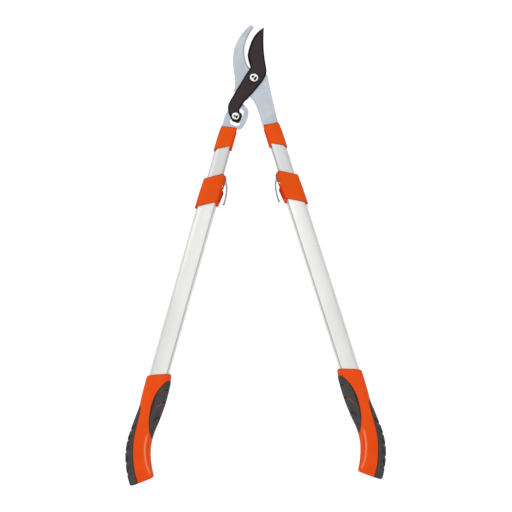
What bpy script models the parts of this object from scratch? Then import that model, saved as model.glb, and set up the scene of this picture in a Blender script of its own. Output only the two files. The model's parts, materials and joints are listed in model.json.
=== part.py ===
"""Telescopic bypass loppers with a slider-linked compound cutting head.

The tool lies flat on its side: Z is its thickness, +Y runs towards the blade tip, and the right
handle is at +X. Dimensions are in millimetres and are scaled to metres as each mesh is made.

Each handle is drawn once, in its own frame, and used for both sides. There u runs across the
tube, positive towards the other handle, v runs down the tube from the tang, and w is the height
above the floor. The head is drawn in x and y measured from the main pivot.
"""

import math

import bmesh
import bpy
from mathutils import Vector

MM = 0.001
GAP = 0.3

# Places in the head, measured from the main pivot.
PIVOT_X = -2.7
PIVOT_Y = 301.8
TANG_PIVOT = Vector((-17.9, -28.4))
SLIDER_PIVOT = Vector((-31.2, -65.1))

# Where each handle's frame starts, measured from the main pivot, and how far it leans out.
LEFT_START = Vector((-42.1, -83.6))
LEFT_LEAN = math.radians(15.8)
RIGHT_START = Vector((28.6, -78.4))
RIGHT_LEAN = math.radians(17.74)

# Heights above the floor.
MIDDLE = 15.0
HOOK_BOTTOM = 8.0
HOOK_TOP = 15.0
BLADE_BOTTOM = 15.3
BLADE_TOP = 19.5
LEFT_TANG_BOTTOM = 4.0
LEFT_TANG_TOP = 14.9
FLANGE_TOP = 7.7

# Tube sections as half width across, half depth, wall and the groove's place.
INNER_HALF_WIDTH = 13.4
INNER_HALF_DEPTH = 9.0
INNER_WALL = 1.5
INNER_GROOVE = 11.2
OUTER_HALF_WIDTH = 17.0
OUTER_HALF_DEPTH = 12.0
OUTER_WALL = 1.6
OUTER_GROOVE = 12.7
TUBE_ROUNDNESS = 3.6
GROOVE_DEPTH = 1.0
GROOVE_HALF = 1.0

# Stations down each handle.
INNER_TOP = 3.0
INNER_END = 345.0
OUTER_TOP = 112.0
OUTER_END = 476.0
NOTCH_PITCH = 40.0
NOTCH_V = 87.5
NOTCH_STEPS = range(-1, 6)
PEG_RADIUS = 2.0
PEG_NECK = 1.4
NOTCH_RADIUS = 2.7
LATCH_U = 16.2
LATCH_V = 100.2
LATCH_PIN_RADIUS = 1.25
LATCH_HALF_SLOT = 5.6

# The neck of each tang inside its inner tube, and the pins through both.
SHANK_HALF_WIDTH = 9.8
SHANK_HALF_DEPTH = 7.1
SHANK_ROUNDNESS = 5.0
SHANK_END = 60.0
TANG_PIN_RADIUS = 2.0
UPPER_PIN_V = 12.0
LOWER_PIN_V = 28.0

# Grinding of the two edges.
HOOK_BEVEL = 2.6
BLADE_GRIND = 4.2

# The latch lever's strip.
LEVER_HALF_WIDTH = 4.9
LEVER_HALF_STRIP = 0.8
EAR_RADIUS = 2.6
EAR_THICKNESS = 1.2

# Bolt shanks and the holes they pass through.
MAIN_SHANK = 4.0
SLIDER_SHANK = 3.0
RIVET_SHANK = 3.5
HOLE_PLAY = 0.3

# The slot in the left tang, measured from the tang pivot along the line to the slider pivot.
SLOT_NEAR = 24.0
SLOT_FAR = 55.0
SLOT_OUTER = 6.6
SLOT_INNER = 11.1
SLOT_PLAY = 0.85
SLIDER_NEAR_END = 8.2
SLIDER_FAR_END = 9.8

# Grip: skin thickness taken by the rubber pads, and the depth of the body.
PAD_THICKNESS = 2.2
GRIP_HALF_DEPTH = 16.2
GRIP_ROUNDNESS = 2.6
GRIP_FLAT = 15.0

GRIP_OUTER_LINE = [
    (-20.0, 446.5), (-19.8, 460.0), (-19.4, 480.0), (-18.4, 499.0), (-20.0, 517.5), (-21.4, 537.0),
    (-22.4, 557.0), (-19.9, 579.5), (-13.9, 599.5), (-5.6, 618.0), (1.6, 630.4), (4.4, 633.6),
]
GRIP_INNER_LINE = [
    (20.3, 432.4), (23.6, 449.0), (24.4, 470.0), (24.2, 488.0), (22.3, 513.0), (19.4, 536.0),
    (20.4, 558.0), (25.0, 576.0), (31.3, 591.5), (36.6, 601.6), (38.7, 606.2), (37.8, 608.2),
]
PAD_LINE = [
    (26.0, 441.0), (20.9, 443.0), (12.9, 448.3), (4.2, 467.0), (1.3, 490.0), (4.5, 516.0),
    (12.0, 536.5), (18.6, 545.5), (24.0, 550.0),
]
STRIP_LINE = [
    (-23.0, 493.0), (-16.0, 498.0), (-14.3, 504.0), (-13.1, 521.0), (-12.1, 544.0), (-9.4, 565.0),
    (-3.2, 586.0), (4.8, 606.0), (14.0, 621.0), (20.0, 630.0),
]

STEEL = ((0.60, 0.64, 0.69), 0.32, 1.0)
BLADE_COATING = ((0.045, 0.034, 0.038), 0.42, 0.0)
CHROME = ((0.80, 0.80, 0.80), 0.12, 1.0)
BLACK_STEEL = ((0.03, 0.03, 0.03), 0.40, 1.0)
TUBE_FINISH = ((0.80, 0.81, 0.79), 0.34, 0.6)
ORANGE = ((0.84, 0.11, 0.012), 0.36, 0.0)
RUBBER = ((0.07, 0.07, 0.07), 0.75, 0.0)
BLACK_PLASTIC = ((0.02, 0.02, 0.02), 0.5, 0.0)


def clear_scene():
    for thing in list(bpy.data.objects):
        bpy.data.objects.remove(thing, do_unlink=True)


def make_material(name, look):
    """A Principled material from a colour, a roughness and a metallic value."""
    colour, roughness, metallic = look
    material = bpy.data.materials.new(name)
    material.use_nodes = True
    shader = material.node_tree.nodes["Principled BSDF"]
    shader.inputs["Base Color"].default_value = (*colour, 1.0)
    shader.inputs["Roughness"].default_value = roughness
    shader.inputs["Metallic"].default_value = metallic
    return material


def make_empty(name, parent, location, turn=0.0):
    """An empty at a place in millimetres under its parent, turned about Z."""
    empty = bpy.data.objects.new(name, None)
    empty.parent = parent
    empty.location = Vector(location) * MM
    empty.rotation_euler = (0.0, 0.0, turn)
    bpy.context.scene.collection.objects.link(empty)
    return empty


def add_object(name, mesh_data, parent, offset=(0, 0, 0), look=None):
    """One object from points and faces in millimetres, with its faces turned outwards."""
    points, faces = mesh_data
    mesh = bpy.data.meshes.new(name)
    mesh.from_pydata([Vector(p) * MM for p in points], [], faces)
    built = bmesh.new()
    built.from_mesh(mesh)
    bmesh.ops.recalc_face_normals(built, faces=built.faces)
    built.to_mesh(mesh)
    built.free()
    mesh.shade_smooth()
    mesh.set_sharp_from_angle(angle=math.radians(35))
    thing = bpy.data.objects.new(name, mesh)
    thing.parent = parent
    thing.location = Vector(offset) * MM
    if look:
        mesh.materials.append(make_material(name, look))
    bpy.context.scene.collection.objects.link(thing)
    return thing


def add_cutter(name, mesh_data, parent, offset=(0, 0, 0)):
    """A helper solid for a Boolean, left out of the model."""
    cutter = add_object(name, mesh_data, parent, offset)
    cutter.hide_render = True
    cutter.display_type = "WIRE"
    return cutter


def use_boolean(thing, other, operation):
    modifier = thing.modifiers.new(operation.title() + "_" + other.name, "BOOLEAN")
    modifier.operation = operation
    modifier.object = other
    modifier.solver = "EXACT"


def stack(rings, closed=False):
    """Joins rings of equal size one after the other, then caps both ends or closes into a loop."""
    count = len(rings[0])
    points = [point for ring in rings for point in ring]
    faces = []
    pairs = [(k, k + 1) for k in range(len(rings) - 1)]
    if closed:
        pairs.append((len(rings) - 1, 0))
    for low, high in pairs:
        for k in range(count):
            after = (k + 1) % count
            faces.append((low * count + k, low * count + after, high * count + after, high * count + k))
    if not closed:
        faces.append(tuple(range(count)))
        faces.append(tuple((len(rings) - 1) * count + k for k in range(count)))
    return points, faces


def prism(outline, bottom, top):
    """A flat plate on an outline."""
    return stack([[(x, y, z) for x, y in outline] for z in (bottom, top)])


def turned(profile, centre=(0.0, 0.0), segments=20, closed=False):
    """A solid turned about Z from (radius, height) pairs."""
    rings = []
    for radius, height in profile:
        angles = [2 * math.pi * k / segments for k in range(segments)]
        rings.append([
            (centre[0] + radius * math.cos(a), centre[1] + radius * math.sin(a), height) for a in angles
        ])
    return stack(rings, closed)


def hexagon_ring(radius, height, centre, segments=24):
    """Points of a hexagon, as many as a circle of the same segments has."""
    ring = []
    for k in range(segments):
        angle = 2 * math.pi * k / segments
        across = (angle % (math.pi / 3)) - math.pi / 6
        reach = radius * math.cos(math.pi / 6) / math.cos(across)
        ring.append((centre[0] + reach * math.cos(angle), centre[1] + reach * math.sin(angle), height))
    return ring


def circle_ring(radius, height, centre, segments=24):
    return turned([(radius, height)] * 2, centre, segments)[0][:segments]


def curve_through(points, steps=4):
    """Points on a Catmull-Rom curve through the given ones, with both ends kept."""
    known = [Vector(p) for p in points]
    padded = [2 * known[0] - known[1], *known, 2 * known[-1] - known[-2]]
    found = []
    for a, b, c, d in zip(padded, padded[1:], padded[2:], padded[3:]):
        for k in range(steps):
            t = k / steps
            place = 2 * b + (c - a) * t + (2 * a - 5 * b + 4 * c - d) * t * t
            found.append(tuple((place + (3 * b - 3 * c + d - a) * t ** 3) / 2))
    return [*found, tuple(known[-1])]


def arc(centre, radius, start, end, steps=8):
    """Points on an arc, with both angles in degrees."""
    angles = [math.radians(start + (end - start) * k / steps) for k in range(steps + 1)]
    return [(centre[0] + radius * math.cos(a), centre[1] + radius * math.sin(a)) for a in angles]


def section_angles(count, grooves=()):
    """Angles round a section, with extra ones that place each groove on both flat faces."""
    angles = [2 * math.pi * (k + 0.5) / count for k in range(count)]
    for share in grooves:
        across = math.acos(share ** (TUBE_ROUNDNESS / 2))
        angles = [a for a in angles if min(abs(a - across), abs(a - 2 * math.pi + across)) > 0.035]
        angles += [across, 2 * math.pi - across]
    return sorted(angles)


def section(half_in, half_depth, angles, roundness=TUBE_ROUNDNESS, groove=None, half_out=None):
    """Points (u, w) of a rounded rectangle, |u/a|^n + |w/b|^n = 1, cut by a groove on each face."""
    found = []
    for angle in angles:
        c = math.cos(angle)
        s = math.sin(angle)
        half = half_in if c > 0 or half_out is None else half_out
        u = math.copysign(half * abs(c) ** (2 / roundness), c)
        w = math.copysign(half_depth * abs(s) ** (2 / roundness), s)
        if groove is not None:
            dip = max(0.0, 1 - abs(u - groove) / GROOVE_HALF) * GROOVE_DEPTH
            w -= math.copysign(dip, s)
        found.append((u, w))
    return found


class Handle:
    """One side of the tool: its side sign, its empties and ways to add objects under them.

    The side sign is 1 where u runs along +X and -1 where it runs along -X.
    """

    def __init__(self, name, side, arm, arm_place, start, lean):
        self.name = name
        self.side = side
        frame_place = Vector((start.x - arm_place.x, start.y - arm_place.y, MIDDLE - arm_place.z))
        self.frame = make_empty(name + "_frame", arm, frame_place, -side * lean)
        self.slide = make_empty(name + "_telescope_axis", self.frame, (0, 0, 0))
        self.latch = make_empty(
            name + "_lever_axis", self.slide, (side * LATCH_U, -LATCH_V, 0)
        )
        self.start = start
        self.lean = -side * lean

    def point(self, u, v, w):
        """A point of this handle, in the frame of its empties, whose middle height is zero."""
        return (self.side * u, -v, w - MIDDLE)

    def points(self, mesh_data):
        found, faces = mesh_data
        return [self.point(*p) for p in found], faces

    def add(self, part, mesh_data, look, parent=None):
        parent = parent or self.frame
        offset = (0, 0, 0)
        if parent is self.latch:
            offset = (-self.side * LATCH_U, LATCH_V, 0)
        return add_object(f"{self.name}_{part}", self.points(mesh_data), parent, offset, look)

    def cutter(self, part, mesh_data):
        return add_cutter(f"{self.name}_{part}", self.points(mesh_data), self.frame)

    def in_head(self, u, v):
        """A point of this handle measured from the main pivot."""
        across = self.side * u
        x = self.start.x + across * math.cos(self.lean) + v * math.sin(self.lean)
        y = self.start.y + across * math.sin(self.lean) - v * math.cos(self.lean)
        return (x, y)


def level_ring(flat, v):
    """A section laid across the tube at one station."""
    return [(u, v, MIDDLE + w) for u, w in flat]


def shaped_ring(flat, edge):
    """A section whose station depends on where round it a point is."""
    return [(u, edge(u), MIDDLE + w) for u, w in flat]


def smooth_step(value):
    value = min(max(value, 0.0), 1.0)
    return value * value * (3 - 2 * value)


def collar_top(u):
    """The slanted top edge of a tang collar."""
    return 0.2 - 0.13 * u


def make_tang_shank(handle, name):
    """The flat-sided neck of a tang that sits inside the inner tube."""
    flat = section(SHANK_HALF_WIDTH, SHANK_HALF_DEPTH, section_angles(16), SHANK_ROUNDNESS)
    rings = [shaped_ring(flat, lambda u: collar_top(u) - 0.8), level_ring(flat, SHANK_END)]
    return handle.cutter(name, stack(rings))


def make_counter_blade(head, right):
    """The hooked counter blade and the right tang, one forging."""
    corner = [(-34.1, -22.4), (-32.6, -13.0)]
    back = curve_through([
        (-32.6, 0.0), (-34.4, 11.0), (-35.8, 22.0), (-35.9, 36.0), (-33.7, 49.0), (-30.2, 59.4),
        (-24.7, 69.6), (-17.1, 79.8), (-9.6, 87.4),
    ])
    tip = [(-7.0, 89.6), (-4.0, 89.8), (-1.8, 88.4), (-0.8, 86.2), (-1.2, 84.4)]
    inner = curve_through([
        (-2.6, 82.6), (-6.6, 77.6), (-10.3, 69.4), (-13.6, 62.4), (-15.9, 53.0), (-16.5, 44.0),
        (-15.4, 33.7), (-12.2, 24.0), (-8.4, 18.0),
    ], 3)
    shoulder = [(0.0, 14.6), (8.0, 13.6), (15.0, 11.0), (20.4, 6.6)]
    right_edge = curve_through([
        (23.6, 2.0), (25.6, -9.0), (27.6, -19.0), (30.6, -32.0), (34.2, -49.0), (37.0, -60.5),
        right.in_head(-12.9, -9.0),
    ], 2)
    tube_end = [right.in_head(u, collar_top(u) - GAP) for u in (-12.9, 13.9)]
    left_edge = curve_through([
        right.in_head(14.2, -10.0), (9.4, -63.2), (6.2, -54.0), (3.4, -46.8), (-1.2, -38.6), (-5.6, -33.2),
    ], 2)
    lobe = arc(TANG_PIVOT, 10.6, -24, -112, 8)
    outline = [*corner, *back, *tip, *inner, *shoulder, *right_edge, *tube_end, *left_edge, *lobe]
    first = len(corner) + len(back) + len(tip)
    bevelled = [*outline[:first], *inset_run(inner, HOOK_BEVEL), *outline[first + len(inner):]]
    lower = stack([
        [(x, y, HOOK_BOTTOM) for x, y in outline],
        [(x, y, HOOK_TOP - 1.4) for x, y in outline],
        [(x, y, HOOK_TOP) for x, y in bevelled],
    ])
    forging = add_object("counter_blade", lower, head, look=STEEL)
    use_boolean(forging, make_tang_shank(right, "shank"), "UNION")
    bore(forging, head, "main_hole", (0.0, 0.0), MAIN_SHANK + HOLE_PLAY)
    bore(forging, head, "rivet_hole", TANG_PIVOT, RIVET_SHANK + HOLE_PLAY)
    return forging


def inset_run(run, distance):
    """A run of points moved sideways, to the left of its direction when seen from above."""
    moved = []
    for k, (x, y) in enumerate(run):
        before = Vector(run[max(k - 1, 0)])
        after = Vector(run[min(k + 1, len(run) - 1)])
        along = (after - before).normalized()
        moved.append((x + along.y * distance, y - along.x * distance))
    return moved


def bore(thing, parent, name, centre, radius, bottom=-2.0, top=40.0, offset=(0, 0, 0)):
    cutter = add_cutter(name, turned([(radius, bottom), (radius, top)], centre), parent, offset)
    use_boolean(thing, cutter, "DIFFERENCE")


def make_cutting_blade(axis):
    """The black bypass blade, with its bevelled convex edge and its tail out to the slider bolt."""
    edge = curve_through([
        (16.8, 86.0), (8.4, 79.9), (-0.2, 69.9), (-5.4, 59.4), (-9.2, 47.4), (-10.8, 38.0),
        (-9.3, 28.6), (-6.0, 17.6),
    ], 4)
    shoulder = curve_through([(-8.6, 13.3), (-15.4, 3.1), (-23.0, -9.7), (-26.6, -15.4)], 2)
    left_side = curve_through([
        (-28.2, -17.6), (-35.8, -30.8), (-42.6, -43.0), (-44.4, -50.5), (-43.4, -59.5),
    ], 3)
    lobe = arc(SLIDER_PIVOT, 9.2, 190, 350, 9)
    right_side = curve_through([
        (-24.9, -56.8), (-23.6, -51.4), (-18.3, -43.6), (-12.6, -36.6), (-3.5, -27.2), (5.4, -16.6),
        (13.5, -6.6), (19.4, 3.1), (21.2, 10.6), (20.4, 18.4), (18.4, 30.3), (16.8, 44.0),
        (16.1, 58.0), (16.2, 72.0), (16.6, 81.0),
    ], 2)
    outline = [*edge, *shoulder, *left_side, *lobe, *right_side]
    ground = inset_run(edge, -BLADE_GRIND)
    ground[0] = (15.8, 82.0)
    upper = [*ground, *outline[len(edge):]]
    body = stack([
        [(x, y, BLADE_BOTTOM) for x, y in outline],
        [(x, y, BLADE_BOTTOM + 0.5) for x, y in outline],
        [(x, y, BLADE_TOP) for x, y in upper],
    ])
    blade = add_object("cutting_blade", body, axis, look=BLADE_COATING)
    bore(blade, axis, "blade_hole", (0.0, 0.0), MAIN_SHANK + HOLE_PLAY)
    bore(blade, axis, "tail_hole", SLIDER_PIVOT, SLIDER_SHANK + HOLE_PLAY)
    return blade


def slot_corners(near, far, outer, inner, cut):
    """Corners of a chamfered box along the line from the tang pivot to the slider pivot."""
    along = (SLIDER_PIVOT - TANG_PIVOT).normalized()
    across = Vector((-along.y, along.x))
    shape = [
        (near, inner - cut), (near + cut, inner), (far - cut, inner), (far, inner - cut),
        (far, cut - outer), (far - cut, -outer), (near + cut, -outer), (near, cut - outer),
    ]
    return [tuple(TANG_PIVOT + along * r + across * s) for r, s in shape]


def make_left_tang(arm, offset, left):
    """The left tang: a flange under the hook, a slotted ring round the slider and a shank."""
    lobe = arc(TANG_PIVOT, 9.6, 170, -50, 10)
    right_side = curve_through([
        (-15.6, -38.4), (-18.8, -43.4), (-15.4, -46.8), (-11.6, -51.6), (-9.4, -58.6), (-10.4, -66.6),
        (-13.0, -73.6), (-16.2, -79.6), (-19.8, -84.6), (-24.2, -87.9), left.in_head(15.0, -0.6),
    ], 3)
    tube_end = [left.in_head(u, collar_top(u) - GAP) for u in (13.4, -12.4)]
    left_side = curve_through([
        left.in_head(-12.4, -6.0), (-50.0, -65.0), (-46.2, -57.6), (-41.0, -49.0), (-33.0, -38.6),
    ], 2)
    outline = [*lobe, *right_side, *tube_end, *left_side]
    body = prism(outline, LEFT_TANG_BOTTOM, LEFT_TANG_TOP)
    tang = add_object("left_tang", body, arm, offset, STEEL)
    use_boolean(tang, make_tang_shank(left, "shank"), "UNION")
    half_lap = turned([(19.6, FLANGE_TOP), (19.6, 40.0)], TANG_PIVOT, 28)
    use_boolean(tang, add_cutter("half_lap", half_lap, arm, offset), "DIFFERENCE")
    slot = slot_corners(SLOT_NEAR, SLOT_FAR, SLOT_OUTER, SLOT_INNER, 4.0)
    slot_cutter = add_cutter("tang_slot", prism(slot, -2.0, 40.0), arm, offset)
    use_boolean(tang, slot_cutter, "DIFFERENCE")
    bore(tang, arm, "flange_hole", TANG_PIVOT, RIVET_SHANK + HOLE_PLAY, offset=offset)
    return tang


def make_bolt(name, parent, centre, shank, head, low, seat, top, offset=(0, 0, 0)):
    """A button-head bolt with a hexagon socket, standing on its shank's end."""
    socket = head * 0.42
    rings = [
        circle_ring(shank, low, centre), circle_ring(shank, seat, centre),
        circle_ring(head, seat, centre), circle_ring(head, seat + (top - seat) * 0.45, centre),
        circle_ring(head * 0.93, seat + (top - seat) * 0.8, centre),
        circle_ring(head * 0.72, top, centre), hexagon_ring(socket, top, centre),
        hexagon_ring(socket, top - 2.2, centre),
    ]
    return add_object(name, stack(rings), parent, offset, CHROME)


def make_ring_part(name, parent, centre, hole, rings, look, offset=(0, 0, 0)):
    """A part round a hole, given as (radius, height, is a hexagon) from bottom to top."""
    outside = [
        hexagon_ring(r, z, centre) if flat else circle_ring(r, z, centre) for r, z, flat in rings
    ]
    inside = [circle_ring(hole, rings[-1][1], centre), circle_ring(hole, rings[0][1], centre)]
    return add_object(name, stack([*outside, *inside], closed=True), parent, offset, look)


def make_head_fasteners(head, axis, slider):
    """The main pivot's bolt, washer and nut, the tang rivet, and the slider with its bolt."""
    make_bolt("main_pivot_bolt", head, (0, 0), MAIN_SHANK, 7.4, 0.8, 20.9, 24.8)
    washer = [(8.8, BLADE_TOP + GAP, False), (8.8, 20.6, False)]
    make_ring_part("main_pivot_washer", head, (0, 0), MAIN_SHANK + HOLE_PLAY, washer, BLACK_STEEL)
    nut = [(8.6, 0.0, True), (8.6, 5.8, True), (10.2, 6.2, False), (10.2, HOOK_BOTTOM - GAP, False)]
    make_ring_part("main_pivot_nut", head, (0, 0), MAIN_SHANK + HOLE_PLAY, nut, CHROME)
    rivet = turned([
        (4.2, 1.9), (6.2, 2.5), (6.2, LEFT_TANG_BOTTOM - GAP),
        (RIVET_SHANK, LEFT_TANG_BOTTOM - GAP), (RIVET_SHANK, HOOK_TOP),
    ], TANG_PIVOT, 20)
    add_object("tang_pivot_rivet", rivet, head, look=CHROME)
    make_bolt("slider_bolt", axis, SLIDER_PIVOT, SLIDER_SHANK, 6.5, 0.7, BLADE_TOP + GAP, 23.2)
    hole = SLIDER_SHANK + HOLE_PLAY
    plate = [(7.4, 2.9, False), (7.4, LEFT_TANG_BOTTOM - GAP, False)]
    make_ring_part("slider_washer", axis, SLIDER_PIVOT, hole, plate, BLACK_STEEL)
    locknut = [(5.9, 0.2, True), (5.9, 2.6, True)]
    make_ring_part("slider_nut", axis, SLIDER_PIVOT, hole, locknut, CHROME)
    reach = (SLIDER_PIVOT - TANG_PIVOT).length
    block = slot_corners(
        reach - SLIDER_NEAR_END, reach + SLIDER_FAR_END, SLOT_OUTER - SLOT_PLAY,
        SLOT_INNER - SLOT_PLAY, 3.2,
    )
    offset = (-SLIDER_PIVOT.x, -SLIDER_PIVOT.y, 0)
    body = prism(block, LEFT_TANG_BOTTOM + GAP, LEFT_TANG_TOP + 0.1)
    slide = add_object("slider_block", body, slider, offset, BLACK_PLASTIC)
    bore(slide, slider, "slider_hole", SLIDER_PIVOT, hole, offset=offset)


def make_tang_collar(handle):
    """The sleeve that covers the joint of tang and inner tube, with slanted ends."""
    angles = section_angles(28)

    def lower_edge(u):
        tab = 3.0 * smooth_step((-u - 10.5) / 3) + 9.0 * smooth_step((u - 9.5) / 3)
        return 36.4 - 0.5 * u + tab

    tube_room = section(INNER_HALF_WIDTH + GAP, INNER_HALF_DEPTH + GAP, angles)
    mouth = section(SHANK_HALF_WIDTH + GAP, SHANK_HALF_DEPTH + GAP, angles, SHANK_ROUNDNESS)
    rings = [
        shaped_ring(section(12.4, 10.6, angles, 3.4), collar_top),
        shaped_ring(section(13.3, 11.4, angles, 3.4), lambda u: collar_top(u) + 1.0),
        level_ring(section(13.5, 11.6, angles, 3.4), 4.0),
        level_ring(section(14.6, 11.4, angles, 3.4), 6.6),
        level_ring(section(14.8, 11.2, angles, 3.4), 22.0),
        shaped_ring(section(15.0, 10.6, angles, 3.4), lower_edge),
        shaped_ring(tube_room, lower_edge),
        level_ring(tube_room, INNER_TOP - GAP),
        level_ring(mouth, INNER_TOP - GAP),
        shaped_ring(mouth, collar_top),
    ]
    handle.add("tang_collar", stack(rings, closed=True), ORANGE)


def tube_body(half_width, half_depth, wall, groove, top, end):
    """An extruded tube with a groove along its inner edge on both faces."""
    shares = [(groove + step * GROOVE_HALF) / half_width for step in (-1, 0, 1)]
    angles = section_angles(20, shares)
    outside = section(half_width, half_depth, angles, groove=groove)
    inside = [
        (u * (half_width - wall) / half_width, w - math.copysign(wall, w) * min(1.0, abs(w) / 4))
        for u, w in outside
    ]
    return stack([
        level_ring(outside, top), level_ring(outside, end), level_ring(inside, end), level_ring(inside, top)
    ], closed=True)


def cross_pin(place, radius, reach):
    """A plain pin through the tube's middle, along the tool's thickness."""
    return turned([(radius, MIDDLE - reach), (radius, MIDDLE + reach)], (0.0, place), 12)


def make_inner_tube(handle):
    """The inner tube with its row of lock notches, its end plug and its two tang pins."""
    body = tube_body(
        INNER_HALF_WIDTH, INNER_HALF_DEPTH, INNER_WALL, INNER_GROOVE, INNER_TOP, INNER_END
    )
    tube = handle.add("inner_tube", body, TUBE_FINISH)
    for number, step in enumerate(NOTCH_STEPS):
        notch = side_pin([(8.0, NOTCH_RADIUS), (18.0, NOTCH_RADIUS)], NOTCH_V + NOTCH_PITCH * step)
        use_boolean(tube, handle.cutter(f"notch_{number}", notch), "DIFFERENCE")
    shank = bpy.data.objects["counter_blade" if handle.name == "right" else "left_tang"]
    for name, place in (("upper_tang_pin", UPPER_PIN_V), ("lower_tang_pin", LOWER_PIN_V)):
        drill = handle.cutter(name + "_hole", cross_pin(place, TANG_PIN_RADIUS + HOLE_PLAY, MIDDLE))
        use_boolean(tube, drill, "DIFFERENCE")
        use_boolean(shank, drill, "DIFFERENCE")
        pin = cross_pin(place, TANG_PIN_RADIUS, INNER_HALF_DEPTH - 0.1)
        handle.add(name, pin, BLACK_STEEL)
    make_end_plug(handle)


def make_end_plug(handle):
    """The plastic plug in the inner tube's lower end, whose flange runs in the outer tube."""
    angles = section_angles(20)
    half_depth = OUTER_HALF_DEPTH - OUTER_WALL - GROOVE_DEPTH - 0.4
    flange = section(OUTER_HALF_WIDTH - OUTER_WALL - 0.4, half_depth, angles)
    spigot = section(10.0, 6.6, angles, 4.0)
    rings = [
        level_ring(spigot, INNER_END - 18), level_ring(spigot, INNER_END + GAP),
        level_ring(flange, INNER_END + GAP), level_ring(flange, INNER_END + 10),
    ]
    handle.add("inner_tube_plug", stack(rings), BLACK_PLASTIC)


def latch_collar_top(u):
    """The slanted top edge of the latch collar, lower again at its inner shoulder."""
    return 86.1 - 0.546 * u + max(0.0, u - 12.0) * 1.06


def latch_collar_bottom(u):
    """The slanted lower edge of the latch collar, with a tab down each side."""
    return 136.1 - 0.523 * u + 9.0 * smooth_step((u - 13.0) / 3) + 3.0 * smooth_step((-u - 14.0) / 3)


def make_latch_collar(handle):
    """The collar that guides the inner tube, grips the outer one and carries the lever."""
    angles = section_angles(32)
    levels = [
        (98.0, 18.9, 17.8), (105.2, 19.3, 18.2), (107.4, 18.0, 18.3), (110.4, 21.3, 18.4),
        (118.0, 20.8, 18.8), (125.8, 20.0, 19.0),
    ]
    small = section(INNER_HALF_WIDTH + GAP, INNER_HALF_DEPTH + GAP, angles)
    large = section(OUTER_HALF_WIDTH + GAP, OUTER_HALF_DEPTH + GAP, angles)
    rings = [
        shaped_ring(section(17.4, 12.8, angles, 3.0, half_out=16.6), latch_collar_top),
        shaped_ring(
            section(18.3, 13.8, angles, 3.0, half_out=17.4), lambda u: latch_collar_top(u) + 1.2
        ),
        *(level_ring(section(a, 14.4, angles, 3.2, half_out=b), v) for v, a, b in levels),
        shaped_ring(section(19.0, 13.8, angles, 3.4, half_out=19.2), latch_collar_bottom),
        shaped_ring(large, latch_collar_bottom),
        level_ring(large, OUTER_TOP - GAP),
        level_ring(small, OUTER_TOP - GAP),
        shaped_ring(small, latch_collar_top),
    ]
    collar = handle.add("latch_collar", stack(rings, closed=True), ORANGE, handle.slide)
    slot = [
        [(u, v, MIDDLE + w * LATCH_HALF_SLOT) for u, w in ((12.0, -1), (28.0, -1), (28.0, 1), (12.0, 1))]
        for v in (84.4, 105.4)
    ]
    use_boolean(collar, handle.cutter("lever_slot", stack(slot)), "DIFFERENCE")
    hole = latch_axis_rod(LATCH_PIN_RADIUS + HOLE_PLAY, MIDDLE)
    use_boolean(collar, handle.cutter("latch_pin_hole", hole), "DIFFERENCE")
    handle.add("latch_pin", latch_axis_rod(LATCH_PIN_RADIUS, 10.6), CHROME, handle.slide)


def latch_axis_rod(radius, reach):
    """A rod on the latch lever's axis, reaching the given distance above and below the middle."""
    return turned([(radius, MIDDLE - reach), (radius, MIDDLE + reach)], (LATCH_U, LATCH_V), 12)


def side_pin(stations, place):
    """A turned pin lying across the tube at one station, from (u, radius) pairs."""
    ring = [2 * math.pi * k / 12 for k in range(12)]
    return stack([
        [(u, place + r * math.cos(a), MIDDLE + r * math.sin(a)) for a in ring] for u, r in stations
    ])


def make_latch_lever(handle):
    """The bent strip lever with two ears on the latch pin, its lock peg and its torsion spring."""
    centre_line = curve_through([
        (17.9, 84.8), (18.9, 89.5), (21.2, 94.5), (23.6, 99.5), (25.4, 106.0), (26.7, 115.0),
        (27.3, 124.0), (26.7, 130.6),
    ], 3)
    inside = inset_run(centre_line, -LEVER_HALF_STRIP)
    outside = inset_run(centre_line, LEVER_HALF_STRIP)
    outline = [*inside, *reversed(outside)]
    strip = prism(outline, MIDDLE - LEVER_HALF_WIDTH, MIDDLE + LEVER_HALF_WIDTH)
    lever = handle.add("latch_lever", strip, STEEL, handle.latch)
    near = [p for p in centre_line if p[1] < 93.0]
    ear = [*near, *arc((LATCH_U, LATCH_V), EAR_RADIUS, 0, 180, 8)]
    lows = (MIDDLE - LEVER_HALF_WIDTH, MIDDLE + LEVER_HALF_WIDTH - EAR_THICKNESS)
    for number, low in enumerate(lows):
        flank = handle.cutter(f"ear_{number}", prism(ear, low, low + EAR_THICKNESS))
        use_boolean(lever, flank, "UNION")
    drill = latch_axis_rod(LATCH_PIN_RADIUS + HOLE_PLAY, MIDDLE)
    use_boolean(lever, handle.cutter("ear_holes", drill), "DIFFERENCE")
    socket = side_pin([(14.0, PEG_NECK + HOLE_PLAY), (24.0, PEG_NECK + HOLE_PLAY)], NOTCH_V)
    use_boolean(lever, handle.cutter("peg_hole", socket), "DIFFERENCE")
    peg = side_pin(
        [(12.3, PEG_NECK), (12.9, PEG_RADIUS), (16.6, PEG_RADIUS), (16.6, PEG_NECK), (19.0, PEG_NECK)],
        NOTCH_V,
    )
    handle.add("lock_peg", peg, CHROME, handle.latch)
    handle.add("latch_spring", coil(), CHROME, handle.latch)


def coil(turns=3.5, steps=10, sides=6):
    """A coil round the latch pin: a small circle carried along a helix of constant pitch."""
    wire = 0.32
    radius = LATCH_PIN_RADIUS + 0.6
    rings = []
    count = int(turns * steps)
    for k in range(count + 1):
        turn = 2 * math.pi * k / steps
        height = MIDDLE - 2.8 + 5.6 * k / count
        rings.append([
            (
                LATCH_U + (radius + wire * math.cos(a)) * math.cos(turn),
                LATCH_V + (radius + wire * math.cos(a)) * math.sin(turn),
                height + wire * math.sin(a),
            )
            for a in (2 * math.pi * j / sides for j in range(sides))
        ])
    return stack(rings)


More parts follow.
